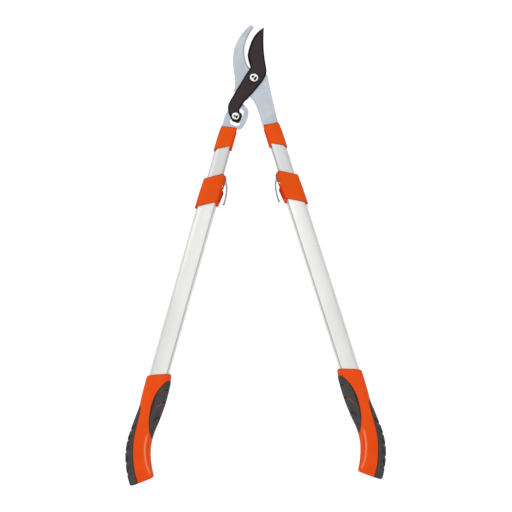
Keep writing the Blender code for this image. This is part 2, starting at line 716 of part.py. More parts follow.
def grip_stations(inset):
    """Pairs of points across the grip, moved in from its edge lines by the given distance."""
    outer = curve_through(GRIP_OUTER_LINE, 1)
    inner = curve_through(GRIP_INNER_LINE, 1)
    pairs = []
    for a, b in zip(outer, inner):
        across = (Vector(b) - Vector(a)).normalized() * inset
        pairs.append((Vector(a) + across, Vector(b) - across))
    return pairs


def grip_ring(pair, angles, half_depth, flat, shrink=1.0):
    """A rounded section on the line between two edge points, with its faces cut flat."""
    outer, inner = pair
    middle = (outer + inner) / 2
    half = (inner - outer) / 2
    ring = []
    for share, w in section(1.0, half_depth, angles, GRIP_ROUNDNESS):
        place = middle + half * share * shrink
        ring.append((place.x, place.y, MIDDLE + max(-flat, min(flat, w * shrink))))
    return ring


def grip_rings(inset, angles):
    """Rings down the grip, whose last ones close in to round its end."""
    depth = GRIP_HALF_DEPTH - inset
    flat = GRIP_FLAT - inset
    pairs = grip_stations(inset)
    shrinks = [0.97] + [1.0] * (len(pairs) - 3) + [0.97, 0.84]
    return [grip_ring(pair, angles, depth, flat, shrink) for pair, shrink in zip(pairs, shrinks)]


def region(line, far_points):
    """A block as deep as the grip, on one side of a boundary line."""
    return prism([*line, *far_points], -6.0, 36.0)


def make_grip(handle):
    """The grip body on the outer tube's end, with a finger pad and a back strip let into it."""
    angles = section_angles(26)
    hull = grip_rings(0.0, angles)
    cavity = section(OUTER_HALF_WIDTH + GAP, OUTER_HALF_DEPTH + GAP, angles)
    floor = OUTER_END + 1.0

    def rim(u):
        return 438.6 - 0.35 * u

    body_rings = [*reversed(hull), shaped_ring(cavity, rim), level_ring(cavity, floor)]
    body = handle.add("grip_body", stack(body_rings), ORANGE, handle.slide)
    hull_cutter = handle.cutter("grip_hull", stack(hull))
    core_cutter = handle.cutter("grip_core", stack(grip_core_rings(PAD_THICKNESS, angles)))
    deep_core = handle.cutter("grip_deep_core", stack(grip_core_rings(PAD_THICKNESS + GAP, angles)))
    pad_far = [(60.0, 552.0), (60.0, 438.0)]
    strip_far = [(20.0, 660.0), (-60.0, 660.0), (-60.0, 480.0)]
    for name, line, far, towards in (
        ("finger_pad", PAD_LINE, pad_far, 1),
        ("back_strip", STRIP_LINE, strip_far, -1),
    ):
        smooth = curve_through(line, 3)
        recess = handle.cutter(name + "_recess", region(inset_run(smooth, -GAP * towards), far))
        use_boolean(recess, deep_core, "DIFFERENCE")
        use_boolean(body, recess, "DIFFERENCE")
        pad = handle.add(name, region(smooth, far), RUBBER, handle.slide)
        use_boolean(pad, hull_cutter, "INTERSECT")
        use_boolean(pad, core_cutter, "DIFFERENCE")


def grip_core_rings(inset, angles):
    """The grip's rings moved in by the inset, ending short of its lower end by as much."""
    rings = grip_rings(inset, angles)
    shift = Vector((-0.55, -0.83)) * inset
    end = [(x + shift.x, y + shift.y, z) for x, y, z in rings[-1]]
    above = [(x, y - 40.0, z) for x, y, z in rings[0]]
    return [above, *rings[:-2], end]


def make_handle(handle):
    make_tang_collar(handle)
    make_inner_tube(handle)
    outer = tube_body(
        OUTER_HALF_WIDTH, OUTER_HALF_DEPTH, OUTER_WALL, OUTER_GROOVE, OUTER_TOP, OUTER_END
    )
    handle.add("outer_tube", outer, TUBE_FINISH, handle.slide)
    make_latch_collar(handle)
    make_latch_lever(handle)
    make_grip(handle)


def main():
    clear_scene()
    head = make_empty("main_pivot_axis", None, (PIVOT_X, PIVOT_Y, 0))
    blade_axis = make_empty("blade_axis", head, (0, 0, 0))
    slider_axis = make_empty("slider_axis", blade_axis, (*SLIDER_PIVOT, 0))
    arm = make_empty("left_arm_axis", head, (*TANG_PIVOT, 0))
    right = Handle("right", -1, head, Vector((0, 0, 0)), RIGHT_START, RIGHT_LEAN)
    left = Handle("left", 1, arm, Vector((*TANG_PIVOT, 0)), LEFT_START, LEFT_LEAN)
    make_counter_blade(head, right)
    make_cutting_blade(blade_axis)
    make_left_tang(arm, (-TANG_PIVOT.x, -TANG_PIVOT.y, 0), left)
    make_head_fasteners(head, blade_axis, slider_axis)
    make_handle(right)
    make_handle(left)


main()
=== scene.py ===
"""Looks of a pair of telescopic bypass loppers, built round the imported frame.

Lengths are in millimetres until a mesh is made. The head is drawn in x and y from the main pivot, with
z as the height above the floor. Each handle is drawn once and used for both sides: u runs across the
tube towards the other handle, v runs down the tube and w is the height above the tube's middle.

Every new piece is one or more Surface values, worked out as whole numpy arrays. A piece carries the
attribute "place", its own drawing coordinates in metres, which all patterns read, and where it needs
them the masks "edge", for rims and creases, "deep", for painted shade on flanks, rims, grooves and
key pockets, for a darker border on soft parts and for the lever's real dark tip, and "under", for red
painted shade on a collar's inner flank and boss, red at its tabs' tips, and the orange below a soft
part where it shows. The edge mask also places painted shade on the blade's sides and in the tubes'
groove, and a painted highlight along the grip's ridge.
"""

import json
import math

import bmesh
import bpy
import numpy as np
from mathutils.geometry import tessellate_polygon
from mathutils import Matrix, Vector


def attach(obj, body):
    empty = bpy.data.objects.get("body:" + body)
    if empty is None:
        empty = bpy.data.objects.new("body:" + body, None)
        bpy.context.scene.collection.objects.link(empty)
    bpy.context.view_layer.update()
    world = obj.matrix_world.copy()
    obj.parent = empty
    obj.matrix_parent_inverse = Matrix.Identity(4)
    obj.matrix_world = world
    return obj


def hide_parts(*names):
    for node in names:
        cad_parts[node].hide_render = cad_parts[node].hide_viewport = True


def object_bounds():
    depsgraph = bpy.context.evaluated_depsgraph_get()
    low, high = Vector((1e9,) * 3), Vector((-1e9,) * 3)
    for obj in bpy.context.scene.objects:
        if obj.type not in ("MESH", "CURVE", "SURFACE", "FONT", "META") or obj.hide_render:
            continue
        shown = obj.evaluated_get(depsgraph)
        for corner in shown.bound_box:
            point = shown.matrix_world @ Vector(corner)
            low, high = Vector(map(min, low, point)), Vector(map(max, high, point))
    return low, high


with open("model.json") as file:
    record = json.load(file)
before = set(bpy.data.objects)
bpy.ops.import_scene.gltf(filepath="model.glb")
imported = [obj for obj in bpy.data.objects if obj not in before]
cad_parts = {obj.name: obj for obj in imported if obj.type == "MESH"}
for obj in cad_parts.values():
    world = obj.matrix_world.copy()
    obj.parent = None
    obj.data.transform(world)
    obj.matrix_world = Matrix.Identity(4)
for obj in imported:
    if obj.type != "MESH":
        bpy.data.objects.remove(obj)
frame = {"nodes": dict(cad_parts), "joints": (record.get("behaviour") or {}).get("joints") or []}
cad_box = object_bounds()

MM = 0.001
GAP = 0.3
JOINTS = {joint["name"]: joint for joint in frame["joints"]}

# Heights above the floor.
MIDDLE = 15.0
HOOK_BOTTOM = 8.0
HOOK_TOP = 15.0
BLADE_BOTTOM = 15.3
BLADE_TOP = 19.5

# The head's holes for the bolts and the rivet, its rounded ends and its cutting edge.
MAIN_HOLE = 4.3
SLIDER_HOLE = 3.3
RIVET_HOLE = 3.8
TANG_LOBE = 10.6
TAIL_LOBE = 9.2
BLADE_TIP = (16.8, 86.0)
GRINDING_REACH = 3

# Bolts, as head radius, underside of the head and top of its crown, and the key's two pockets in each
# crown, as start, end and radius.
MAIN_BOLT = (7.4, 20.9, 24.8)
MAIN_POCKETS = [((-2.35, 1.7), (-2.2, 1.7), 2.1), ((1.1, -3.1), (3.1, -0.2), 1.65)]
TAIL_BOLT = (6.5, 19.8, 23.2)
TAIL_POCKETS = [((-1.5, 0.0), (-1.3, 0.0), 1.6), ((1.3, -2.5), (2.6, -0.3), 1.4)]
BOLT_STEPS = 72

# Tubes, as half width, half depth, wall and the place of the groove along the inner edge.
INNER_TUBE = (13.4, 9.0, 1.5, 11.2)
OUTER_TUBE = (17.0, 12.0, 1.6, 12.7)
TUBE_ROUNDNESS = 3.6
GROOVE_DEPTH = 1.0
GROOVE_HALF = 1.0
INNER_TOP = 3.0
INNER_END = 345.0
OUTER_TOP = 112.0
OUTER_END = 476.0

# The latch: its pin, the notches in the inner tube and the lever's slot.
LATCH_U = 16.2
LATCH_V = 100.2
LATCH_PIN_RADIUS = 1.25
NOTCH_V = 87.5
NOTCH_PITCH = 40.0
NOTCH_RADIUS = 2.7
NOTCH_STEPS = np.arange(-1, 6)
PIN_STEPS = 32
LEVER_HALF_WIDTH = 4.9
LEVER_HALF_STRIP = 1.3
EAR_RADIUS = 2.6
EAR_THICKNESS = 1.2

# The grip's two edges and the boundaries of its soft parts.
GRIP_OUTER_LINE = [
    (-20.0, 446.5), (-19.8, 460.0), (-19.4, 480.0), (-18.4, 499.0), (-20.0, 517.5), (-21.4, 537.0),
    (-22.4, 557.0), (-19.9, 579.5), (-13.9, 599.5), (-5.6, 618.0), (1.6, 630.4), (4.4, 633.6),
]
GRIP_INNER_LINE = [
    (20.3, 432.4), (23.6, 449.0), (24.4, 470.0), (24.2, 488.0), (22.3, 513.0), (19.4, 536.0),
    (20.4, 558.0), (25.0, 576.0), (31.3, 591.5), (36.6, 601.6), (38.7, 606.2), (37.8, 608.2),
]
PAD_LINE = [
    (26.0, 441.0), (20.9, 443.0), (12.9, 448.3), (4.2, 467.0), (1.3, 490.0), (4.5, 516.0),
    (12.0, 536.5), (18.6, 545.5), (24.0, 550.0),
]
STRIP_LINE = [
    (-23.0, 493.0), (-16.0, 498.0), (-14.3, 504.0), (-13.1, 521.0), (-12.1, 544.0), (-9.4, 565.0),
    (-3.2, 586.0), (4.8, 606.0), (14.0, 621.0), (20.0, 630.0),
]
RIDGE_LINE = [(8.6, 540.0), (9.0, 552.0), (12.0, 568.0), (20.2, 588.0), (30.8, 603.0)]
RIDGE_SLANT = 0.86
GRIP_HALF_DEPTH = 16.0
GRIP_ROUNDNESS = 2.6
GRIP_FLAT = 15.2
GRIP_TOP_HALF = 20.0


# ---------------------------------------------------------------- shapes


class Surface:
    """Points, faces and masks of one closed shell. Flat faces are shaded flat, and the rest smooth."""

    def __init__(self, points, faces, flat=None, edge=None, deep=None, under=None):
        self.points = np.asarray(points, float)
        self.faces = faces
        self.flat = np.zeros(len(faces), bool) if flat is None else np.asarray(flat, bool)
        self.edge = np.zeros(len(self.points)) if edge is None else np.asarray(edge, float)
        self.deep = np.zeros(len(self.points)) if deep is None else np.asarray(deep, float)
        self.under = np.zeros(len(self.points)) if under is None else np.asarray(under, float)


def smooth_path(points, steps):
    """Catmull-Rom: between two points a cubic whose slope at each is half the step between its neighbours."""
    known = np.asarray(points, float)
    known = np.vstack([2 * known[0] - known[1], known, 2 * known[-1] - known[-2]])
    a, b, c, d = (part[:, None] for part in (known[:-3], known[1:-2], known[2:-1], known[3:]))
    t = np.linspace(0, 1, steps, endpoint=False)[None, :, None]
    cubic = 2 * b + (c - a) * t + (2 * a - 5 * b + 4 * c - d) * t**2 + (3 * b - 3 * c + d - a) * t**3
    return np.vstack([cubic.reshape(-1, known.shape[1]) / 2, known[-2]])


def arc(centre, radius, start, end, steps):
    """Points at even angles on a circle, from start to end in degrees."""
    angles = np.radians(np.linspace(start, end, steps))
    return np.column_stack([centre[0] + radius * np.cos(angles), centre[1] + radius * np.sin(angles)])


def ease(value):
    """0 below 0, 1 above 1 and 3t^2 - 2t^3 between."""
    t = np.clip(value, 0, 1)
    return t * t * (3 - 2 * t)


def past(value, start, fade):
    """0 up to start, then eased up to 1 over a distance fade."""
    return ease((value - start) / fade)


def short_of(value, end, fade):
    """1 up to a distance fade before the end, then eased down to 0."""
    return ease((end - value) / fade)


def grid_faces(rows, columns, wrap_rows=False, wrap_columns=True):
    """Quads between neighbouring points of a grid stored row by row, closed round in either direction."""
    row = np.arange(rows if wrap_rows else rows - 1)
    column = np.arange(columns if wrap_columns else columns - 1)
    row, column = (part.ravel() for part in np.meshgrid(row, column, indexing="ij"))
    row_after, column_after = (row + 1) % rows, (column + 1) % columns
    corners = [
        row * columns + column, row * columns + column_after,
        row_after * columns + column_after, row_after * columns + column,
    ]
    return np.column_stack(corners).tolist()


def shell(grid, closed=False, edge=None, deep=None, under=None):
    """A surface on a grid of rings. Its ends are capped, or joined to each other if closed."""
    rows, columns = grid.shape[:2]
    faces = grid_faces(rows, columns, wrap_rows=closed)
    flat = [False] * len(faces)
    if not closed:
        faces += [list(range(columns)), list(range((rows - 1) * columns, rows * columns))]
        flat += [True, True]
    masks = [
        None if mask is None else np.broadcast_to(mask, (rows, columns)).ravel()
        for mask in (edge, deep, under)
    ]
    return Surface(grid.reshape(-1, 3), faces, flat, *masks)


def inward_normals(outline):
    """Unit vectors to the left of the direction from each point's neighbour before to the one after."""
    along = np.roll(outline, -1, axis=0) - np.roll(outline, 1, axis=0)
    along /= np.linalg.norm(along, axis=1)[:, None]
    return np.column_stack([-along[:, 1], along[:, 0]])


def anticlockwise(outline, *with_it):
    """The outline, and values that go with its points, turned round if it runs clockwise."""
    x, y = outline.T
    if np.sum(x * np.roll(y, -1) - y * np.roll(x, -1)) > 0:
        return (outline, *with_it)
    return tuple(part[::-1] for part in (outline, *with_it))


def rings_of(outline, rows):
    """A ring for each (inset, height) row: the outline moved inwards by the inset, at the height."""
    normals = inward_normals(outline)
    rings = []
    for inset, height in rows:
        flat = outline + normals * np.broadcast_to(inset, len(outline))[:, None]
        rings.append(np.column_stack([flat, np.broadcast_to(height, len(outline))]))
    return np.stack(rings)


CHAMFER = 0.3


def plate(outline, rows, holes=(), rim=()):
    """A plate from an anticlockwise outline and (inset, height) rows from its bottom to its top.

    Each hole is a clockwise outline, which goes straight through with a small chamfer at both ends. The
    two faces are triangulated between the outline and the holes. rim gives the edge mask of each row.
    """
    rings = rings_of(outline, rows)
    low, high = float(np.min(rings[0][:, 2])), float(np.max(rings[-1][:, 2]))
    parts = [rings.reshape(-1, 3)]
    faces = grid_faces(len(rings), len(outline))
    edge = [np.repeat(rim if len(rim) else np.zeros(len(rows)), len(outline))]
    bottoms = [np.arange(len(outline))]
    count = len(parts[0])
    tops = [bottoms[0] + count - len(outline)]
    for hole in holes:
        wall = rings_of(hole, [(CHAMFER, low), (0, low + CHAMFER), (0, high - CHAMFER), (CHAMFER, high)])
        parts.append(wall.reshape(-1, 3))
        faces += (np.array(grid_faces(4, len(hole))) + count).tolist()
        bottoms.append(np.arange(len(hole)) + count)
        tops.append(np.arange(len(hole)) + count + 3 * len(hole))
        edge.append(np.tile(0.5, 4 * len(hole)))
        count += len(parts[-1])
    points = np.vstack(parts)
    side_count = len(faces)
    for loops in (bottoms, tops):
        indices = np.concatenate(loops)
        triangles = tessellate_polygon([points[loop].tolist() for loop in loops])
        faces += indices[np.array(triangles)].tolist()
    flat = np.arange(len(faces)) >= side_count
    return Surface(points, faces, flat, np.concatenate(edge))


def circle(centre, radius, steps=48):
    """A clockwise ring of points, as plate wants its holes."""
    return arc(centre, radius, 360, 360 / steps, steps)


def turned(profile, centre=(0.0, 0.0), steps=64, closed=False):
    """A profile of (radius, height) pairs turned about a vertical axis: x, y = centre + r (cos a, sin a)."""
    radius, height = np.asarray(profile, float).T
    angle = np.arange(steps) * 2 * np.pi / steps
    grid = np.stack([
        centre[0] + radius[:, None] * np.cos(angle), centre[1] + radius[:, None] * np.sin(angle),
        np.repeat(height[:, None], steps, axis=1),
    ], axis=-1)
    return shell(grid, closed)


def superellipse(angle, half_in, half_out, half_depth, roundness):
    """u and w with |u/a|^n + |w/b|^n = 1, where a is half_in on the inner side and half_out on the other."""
    c, s = np.cos(angle), np.sin(angle)
    half = np.where(c > 0, half_in, half_out)
    u = np.sign(c) * half * np.abs(c) ** (2 / roundness)
    return u, np.sign(s) * half_depth * np.abs(s) ** (2 / roundness)


# ---------------------------------------------------------------- places


def pivot_of(joint):
    """A joint's place in x and y, in millimetres."""
    return np.array(JOINTS[joint]["pos_m"][:2]) / MM


MAIN_PIVOT = pivot_of("blade_swing")
TANG_PIVOT = pivot_of("left_handle_swing") - MAIN_PIVOT
SLIDER_PIVOT = pivot_of("slider_swivel") - MAIN_PIVOT


class Head:
    """The head's drawing frame: x and y from the main pivot, z from the floor."""

    def world(self, points):
        return points + np.array([*MAIN_PIVOT, 0.0])

    def local(self, points):
        return points - np.array([*MAIN_PIVOT, 0.0])


class Side:
    """One handle's drawing frame, found from the axes of its telescope and its latch lever."""

    def __init__(self, name, turn, arm):
        down = np.array(JOINTS[name + "_telescope"]["axis"][:2])
        self.name = name
        self.arm = arm
        self.handle = name + "_handle"
        self.lever = name + "_lever"
        self.down = down / np.linalg.norm(down)
        self.inward = turn * np.array([-self.down[1], self.down[0]])
        latch = pivot_of(name + "_lever_press")
        self.start = latch - LATCH_U * self.inward - LATCH_V * self.down

    def world(self, points):
        u, v, w = points.T
        flat = self.start + u[:, None] * self.inward + v[:, None] * self.down
        return np.column_stack([flat, w + MIDDLE])

    def local(self, points):
        flat = points[:, :2] - self.start
        return np.column_stack([flat @ self.inward, flat @ self.down, points[:, 2] - MIDDLE])

    def in_head(self, u, v):
        """A point of this handle, measured from the main pivot."""
        return self.start + u * self.inward + v * self.down - MAIN_PIVOT


HEAD = Head()
LEFT = Side("left", 1, "left_arm")
RIGHT = Side("right", -1, "hook_and_right_arm")


# ---------------------------------------------------------------- pieces


SHARP_ANGLE = math.radians(48)
ROUNDED_ANGLE = math.radians(38)
FLAT_ANGLE = math.radians(1)
MERGE_DISTANCE = 0.002


def settle(thing):
    """Puts the result of a piece's modifiers into its mesh, so that none is left live."""
    bpy.context.view_layer.update()
    graph = bpy.context.evaluated_depsgraph_get()
    mesh = bpy.data.meshes.new_from_object(thing.evaluated_get(graph))
    thing.modifiers.clear()
    old = thing.data
    thing.data = mesh
    bpy.data.meshes.remove(old)
    mesh.name = thing.name


def face_outwards(mesh):
    """Turns every face of a closed mesh outwards."""
    shape = bmesh.new()
    shape.from_mesh(mesh)
    bmesh.ops.recalc_face_normals(shape, faces=shape.faces)
    shape.to_mesh(mesh)
    shape.free()


def store_place(mesh, drawing):
    """Keeps each point's own drawing coordinates, in metres, for the patterns to read."""
    points = np.empty(len(mesh.vertices) * 3)
    mesh.vertices.foreach_get("co", points)
    local = drawing.local(points.reshape(-1, 3) / MM) * MM
    attribute = mesh.attributes.new("place", "FLOAT_VECTOR", "POINT")
    attribute.data.foreach_set("vector", local.astype(np.float32).ravel())


def make_solid(name, surfaces, drawing):
    """An object from closed surfaces, with its place in its mesh and its faces outwards."""
    starts = np.cumsum([0] + [len(surface.points) for surface in surfaces[:-1]])
    points = drawing.world(np.vstack([surface.points for surface in surfaces])) * MM
    faces = [
        [corner + int(start) for corner in face]
        for surface, start in zip(surfaces, starts) for face in surface.faces
    ]
    mesh = bpy.data.meshes.new(name)
    mesh.from_pydata(points.tolist(), [], faces)
    face_outwards(mesh)
    flat = np.concatenate([surface.flat for surface in surfaces])
    mesh.polygons.foreach_set("use_smooth", ~flat)
    mesh.set_sharp_from_angle(angle=SHARP_ANGLE)
    mesh.polygons.foreach_set("use_smooth", ~flat)
    for mask in ("edge", "deep", "under"):
        values = np.concatenate([getattr(surface, mask) for surface in surfaces])
        mesh.attributes.new(mask, "FLOAT", "POINT").data.foreach_set("value", values.astype(np.float32))
    thing = bpy.data.objects.new(name, mesh)
    bpy.context.scene.collection.objects.link(thing)
    return thing


def finish_piece(thing, drawing, material, body, nodes):
    """Gives a piece its pattern coordinates, its material and its body, and hides the CAD nodes it stands
    for.
    """
    store_place(thing.data, drawing)
    thing.data.materials.clear()
    thing.data.materials.append(material)
    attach(thing, body)
    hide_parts(*nodes)
    return thing


def make_piece(name, surfaces, drawing, material, body, slot, *nodes, cutters=()):
    """A finished piece. Each cutter is a closed surface that is taken out of it."""
    thing = make_solid(name, surfaces, drawing)
    helpers = []
    for number, cutter in enumerate(cutters):
        helper = make_solid(f"{name}_cutter_{number}", [cutter], drawing)
        cut = thing.modifiers.new(f"cut_{number}", "BOOLEAN")
        cut.object = helper
        cut.solver = "EXACT"
        helpers.append(helper)
    if helpers:
        settle(thing)
        for helper in helpers:
            bpy.data.objects.remove(helper)
    return finish_piece(thing, drawing, material, body, nodes)


def soften(node, name, rounding, drawing, material, body):
    """A merged copy of a CAD node, with every sharp edge rounded by two narrow faces."""
    mesh = frame["nodes"][node].data.copy()
    mesh.name = name
    mesh.attributes.remove(mesh.attributes["custom_normal"])
    shape = bmesh.new()
    shape.from_mesh(mesh)
    bmesh.ops.remove_doubles(shape, verts=shape.verts, dist=MERGE_DISTANCE * MM)
    bmesh.ops.dissolve_limit(shape, angle_limit=FLAT_ANGLE, verts=shape.verts, edges=shape.edges)
    shape.to_mesh(mesh)
    shape.free()
    mesh.shade_smooth()
    thing = bpy.data.objects.new(name, mesh)
    bpy.context.scene.collection.objects.link(thing)
    bevel = thing.modifiers.new("rounding", "BEVEL")
    bevel.width = rounding * MM
    bevel.segments = 2
    bevel.limit_method = "ANGLE"
    bevel.angle_limit = ROUNDED_ANGLE
    bevel.harden_normals = True
    settle(thing)
    return finish_piece(thing, drawing, material, body, [node])


# ---------------------------------------------------------------- node groups


def new_group(name, inputs, outputs):
    """An empty node group with inputs, as (name, kind, default), and outputs, as (name, kind)."""
    group = bpy.data.node_groups.new(name, "ShaderNodeTree")
    for label, kind, default in inputs:
        socket = group.interface.new_socket(name=label, in_out="INPUT", socket_type="NodeSocket" + kind)
        if default is not None:
            socket.default_value = default
    for label, kind in outputs:
        group.interface.new_socket(name=label, in_out="OUTPUT", socket_type="NodeSocket" + kind)
    return group


class Tree:
    """Short ways to put nodes and links into one node tree."""

    def __init__(self, tree):
        self.tree = tree

    def node(self, kind, inputs=None, **settings):
        """A node with plain settings. Each input is a number, a colour or another node's output."""
        made = self.tree.nodes.new("ShaderNode" + kind)
        for key, value in settings.items():
            setattr(made, key, value)
        for key, value in (inputs or {}).items():
            if isinstance(value, bpy.types.NodeSocket):
                self.tree.links.new(value, made.inputs[key])
            else:
                made.inputs[key].default_value = value
        return made

    def math(self, operation, first, second):
        """One sum, difference or product."""
        return self.node("Math", {0: first, 1: second}, operation=operation).outputs[0]

    def between(self, value, low, high, to_low=0.0, to_high=1.0):
        """A value carried smoothly from one range to another and kept inside it."""
        inputs = {"Value": value, "From Min": low, "From Max": high, "To Min": to_low, "To Max": to_high}
        return self.node("MapRange", inputs, interpolation_type="SMOOTHSTEP").outputs[0]

    def mix(self, share, first, second):
        """A colour between two others."""
        made = self.node("Mix", {0: share, 6: first, 7: second}, data_type="RGBA")
        return made.outputs[2]

    def place(self):
        """The piece's own drawing coordinates."""
        return self.node("Attribute", attribute_name="place").outputs["Vector"]

    def mask(self, name):
        """One of the piece's masks."""
        return self.node("Attribute", attribute_name=name).outputs["Fac"]

    def group(self, group, **inputs):
        """A node group placed with its own values, and its outputs."""
        made = self.tree.nodes.new("ShaderNodeGroup")
        made.node_tree = group
        for key, value in inputs.items():
            label = key.replace("_", " ").title()
            if isinstance(value, bpy.types.NodeSocket):
                self.tree.links.new(value, made.inputs[label])
            else:
                made.inputs[label].default_value = value
        return made.outputs


def ends_of(group):
    """A group's tree, what it is given and what it puts out."""
    given = group.nodes.new("NodeGroupInput").outputs
    result = group.nodes.new("NodeGroupOutput").inputs
    return Tree(group), given, result


def put_out(tree, noise, given, result):
    """Puts out a noise as it is, and as a height about zero times the given amount."""
    tree.tree.links.new(noise.outputs["Fac"], result["Value"])
    centred = tree.math("SUBTRACT", noise.outputs["Fac"], 0.5)
    tree.tree.links.new(tree.math("MULTIPLY", centred, given["Amount"]), result["Height"])


def build_grain():
    """Fine even grain: fractal noise at a scale, as a value from 0 to 1 and as a centred height."""
    group = new_group(
        "fine_grain", [("Vector", "Vector", None), ("Scale", "Float", 900.0), ("Amount", "Float", 1.0)],
        [("Value", "Float"), ("Height", "Float")],
    )
    tree, given, result = ends_of(group)
    noise = tree.node(
        "TexNoise", {"Vector": given["Vector"], "Scale": given["Scale"], "Detail": 3.0, "Roughness": 0.6}
    )
    put_out(tree, noise, given, result)
    return group


def build_brushing():
    """Drawn lines: noise whose coordinates are squeezed along v, or along y in the head, by a stretch."""
    group = new_group(
        "brushed_lines",
        [
            ("Vector", "Vector", None), ("Scale", "Float", 900.0), ("Stretch", "Float", 0.02),
            ("Amount", "Float", 1.0),
        ],
        [("Value", "Float"), ("Height", "Float")],
    )
    tree, given, result = ends_of(group)
    squeeze = tree.node("CombineXYZ", {"X": 1.0, "Y": given["Stretch"], "Z": 1.0})
    drawn = tree.node(
        "VectorMath", {0: given["Vector"], 1: squeeze.outputs[0]}, operation="MULTIPLY"
    )
    noise = tree.node(
        "TexNoise", {"Vector": drawn.outputs[0], "Scale": given["Scale"], "Detail": 2.0, "Roughness": 0.55}
    )
    put_out(tree, noise, given, result)
    return group


def build_wear():
    """Rubbed rims: an edge mask broken up by noise, strong only where both are high."""
    group = new_group(
        "worn_rims",
        [
            ("Vector", "Vector", None), ("Edge", "Float", 0.0), ("Scale", "Float", 300.0),
            ("Reach", "Float", 0.5),
        ],
        [("Mask", "Float")],
    )
    tree, given, result = ends_of(group)
    noise = tree.node(
        "TexNoise", {"Vector": given["Vector"], "Scale": given["Scale"], "Detail": 4.0, "Roughness": 0.65}
    )
    broken = tree.math("MULTIPLY", given["Edge"], tree.between(noise.outputs["Fac"], 0.42, 0.72))
    group.links.new(tree.math("MULTIPLY", broken, given["Reach"]), result["Mask"])
    return group


def build_handling():
    """Marks of use: broad soft patches with fine specks in them, as a value from 0 to 1."""
    group = new_group(
        "handling_marks", [("Vector", "Vector", None), ("Scale", "Float", 30.0), ("Specks", "Float", 0.3)],
        [("Value", "Float")],
    )
    tree, given, result = ends_of(group)
    patches = tree.node(
        "TexNoise", {"Vector": given["Vector"], "Scale": given["Scale"], "Detail": 2.0, "Distortion": 0.6}
    )
    finer = tree.math("MULTIPLY", given["Scale"], 22.0)
    specks = tree.node("TexNoise", {"Vector": given["Vector"], "Scale": finer, "Detail": 1.0})
    speck_part = tree.math("MULTIPLY", tree.between(specks.outputs["Fac"], 0.55, 0.75), given["Specks"])
    patch_part = tree.between(patches.outputs["Fac"], 0.3, 0.7)
    both = tree.node("Math", {0: patch_part, 1: speck_part}, operation="ADD", use_clamp=True)
    group.links.new(both.outputs[0], result["Value"])
    return group


GRAIN = build_grain()
BRUSHING = build_brushing()
WEAR = build_wear()
HANDLING = build_handling()


# ---------------------------------------------------------------- materials


# Colours, as linear red, green and blue, and 1.
PLATE_SHADE = (0.43, 0.47, 0.525, 1)
PLATE_LIGHT = (0.50, 0.54, 0.60, 1)
PLATE_RUBBED = (0.62, 0.65, 0.69, 1)
COATING_SHADE = (0.035, 0.022, 0.026, 1)
COATING_LIGHT = (0.042, 0.027, 0.031, 1)
# Near-black painted shade for the blade's sides and ground edge.
COATING_PAINTED_SHADE = (0.0012, 0.001, 0.0012, 1)
COATING_RUBBED = (0.30, 0.29, 0.29, 1)
CHROME_BRIGHT = (0.86, 0.86, 0.85, 1)
# Near-black painted shade for the bolts' key pockets.
CHROME_PAINTED_SHADE = (0.010, 0.009, 0.009, 1)
BLACK_SHADE = (0.018, 0.017, 0.018, 1)
BLACK_LIGHT = (0.034, 0.031, 0.031, 1)
LEVER_SHADE = (0.24, 0.25, 0.26, 1)
LEVER_LIGHT = (0.34, 0.35, 0.36, 1)
LEVER_TIP = (0.04, 0.038, 0.038, 1)
INNER_SHADE = (0.60, 0.615, 0.61, 1)
INNER_LIGHT = (0.64, 0.655, 0.65, 1)
OUTER_SHADE = (0.71, 0.72, 0.69, 1)
OUTER_LIGHT = (0.84, 0.845, 0.81, 1)
# Painted shade for the tubes' groove.
GROOVE_PAINTED_SHADE = (0.27, 0.28, 0.28, 1)
COLLAR_SHADE = (0.76, 0.078, 0.0015, 1)
COLLAR_LIGHT = (0.83, 0.088, 0.0025, 1)
# Dark painted shade for the collars' outer edge, rims and boss side.
COLLAR_PAINTED_SHADE = (0.27, 0.008, 0.0012, 1)
GRIP_SHADE = (0.80, 0.065, 0.002, 1)
GRIP_LIGHT = (0.86, 0.079, 0.003, 1)
# Dark painted shade for the grips' flanks and ends.
GRIP_PAINTED_SHADE = (0.42, 0.022, 0.001, 1)
# Red painted shade for a collar's inner flank and boss, also used at its tabs' tips.
RED_PAINTED_SHADE = (0.74, 0.026, 0.002, 1)
ORANGE_RUBBED = (0.90, 0.26, 0.10, 1)
# Painted highlight for the grip's ridge.
ORANGE_PAINTED_HIGHLIGHT = (0.95, 0.42, 0.24, 1)
RUBBER_SHADE = (0.046, 0.045, 0.045, 1)
RUBBER_LIGHT = (0.068, 0.066, 0.066, 1)
RUBBER_RUBBED = (0.10, 0.10, 0.10, 1)
# Near-black painted shade for the rubber's grooves, also used along its border.
RUBBER_PAINTED_SHADE = (0.006, 0.004, 0.004, 1)
GROOVE_ORANGE = (0.66, 0.10, 0.02, 1)


def start_material(name, **values):
    """A material's tree and its Principled shader, with the values that are the same all over it."""
    material = bpy.data.materials.new(name)
    material.use_nodes = True
    tree = Tree(material.node_tree)
    shader = material.node_tree.nodes["Principled BSDF"]
    for key, value in values.items():
        shader.inputs[key.replace("_", " ")].default_value = value
    return material, tree, shader


def connect(tree, shader, bump=None, **sockets):
    """Links outputs to the shader, and heights through a Bump node of a strength and a distance."""
    for key, value in sockets.items():
        tree.tree.links.new(value, shader.inputs[key.replace("_", " ")])
    if bump:
        height, strength, distance = bump
        node = tree.node("Bump", {"Height": height, "Strength": strength, "Distance": distance * MM})
        tree.tree.links.new(node.outputs["Normal"], shader.inputs["Normal"])


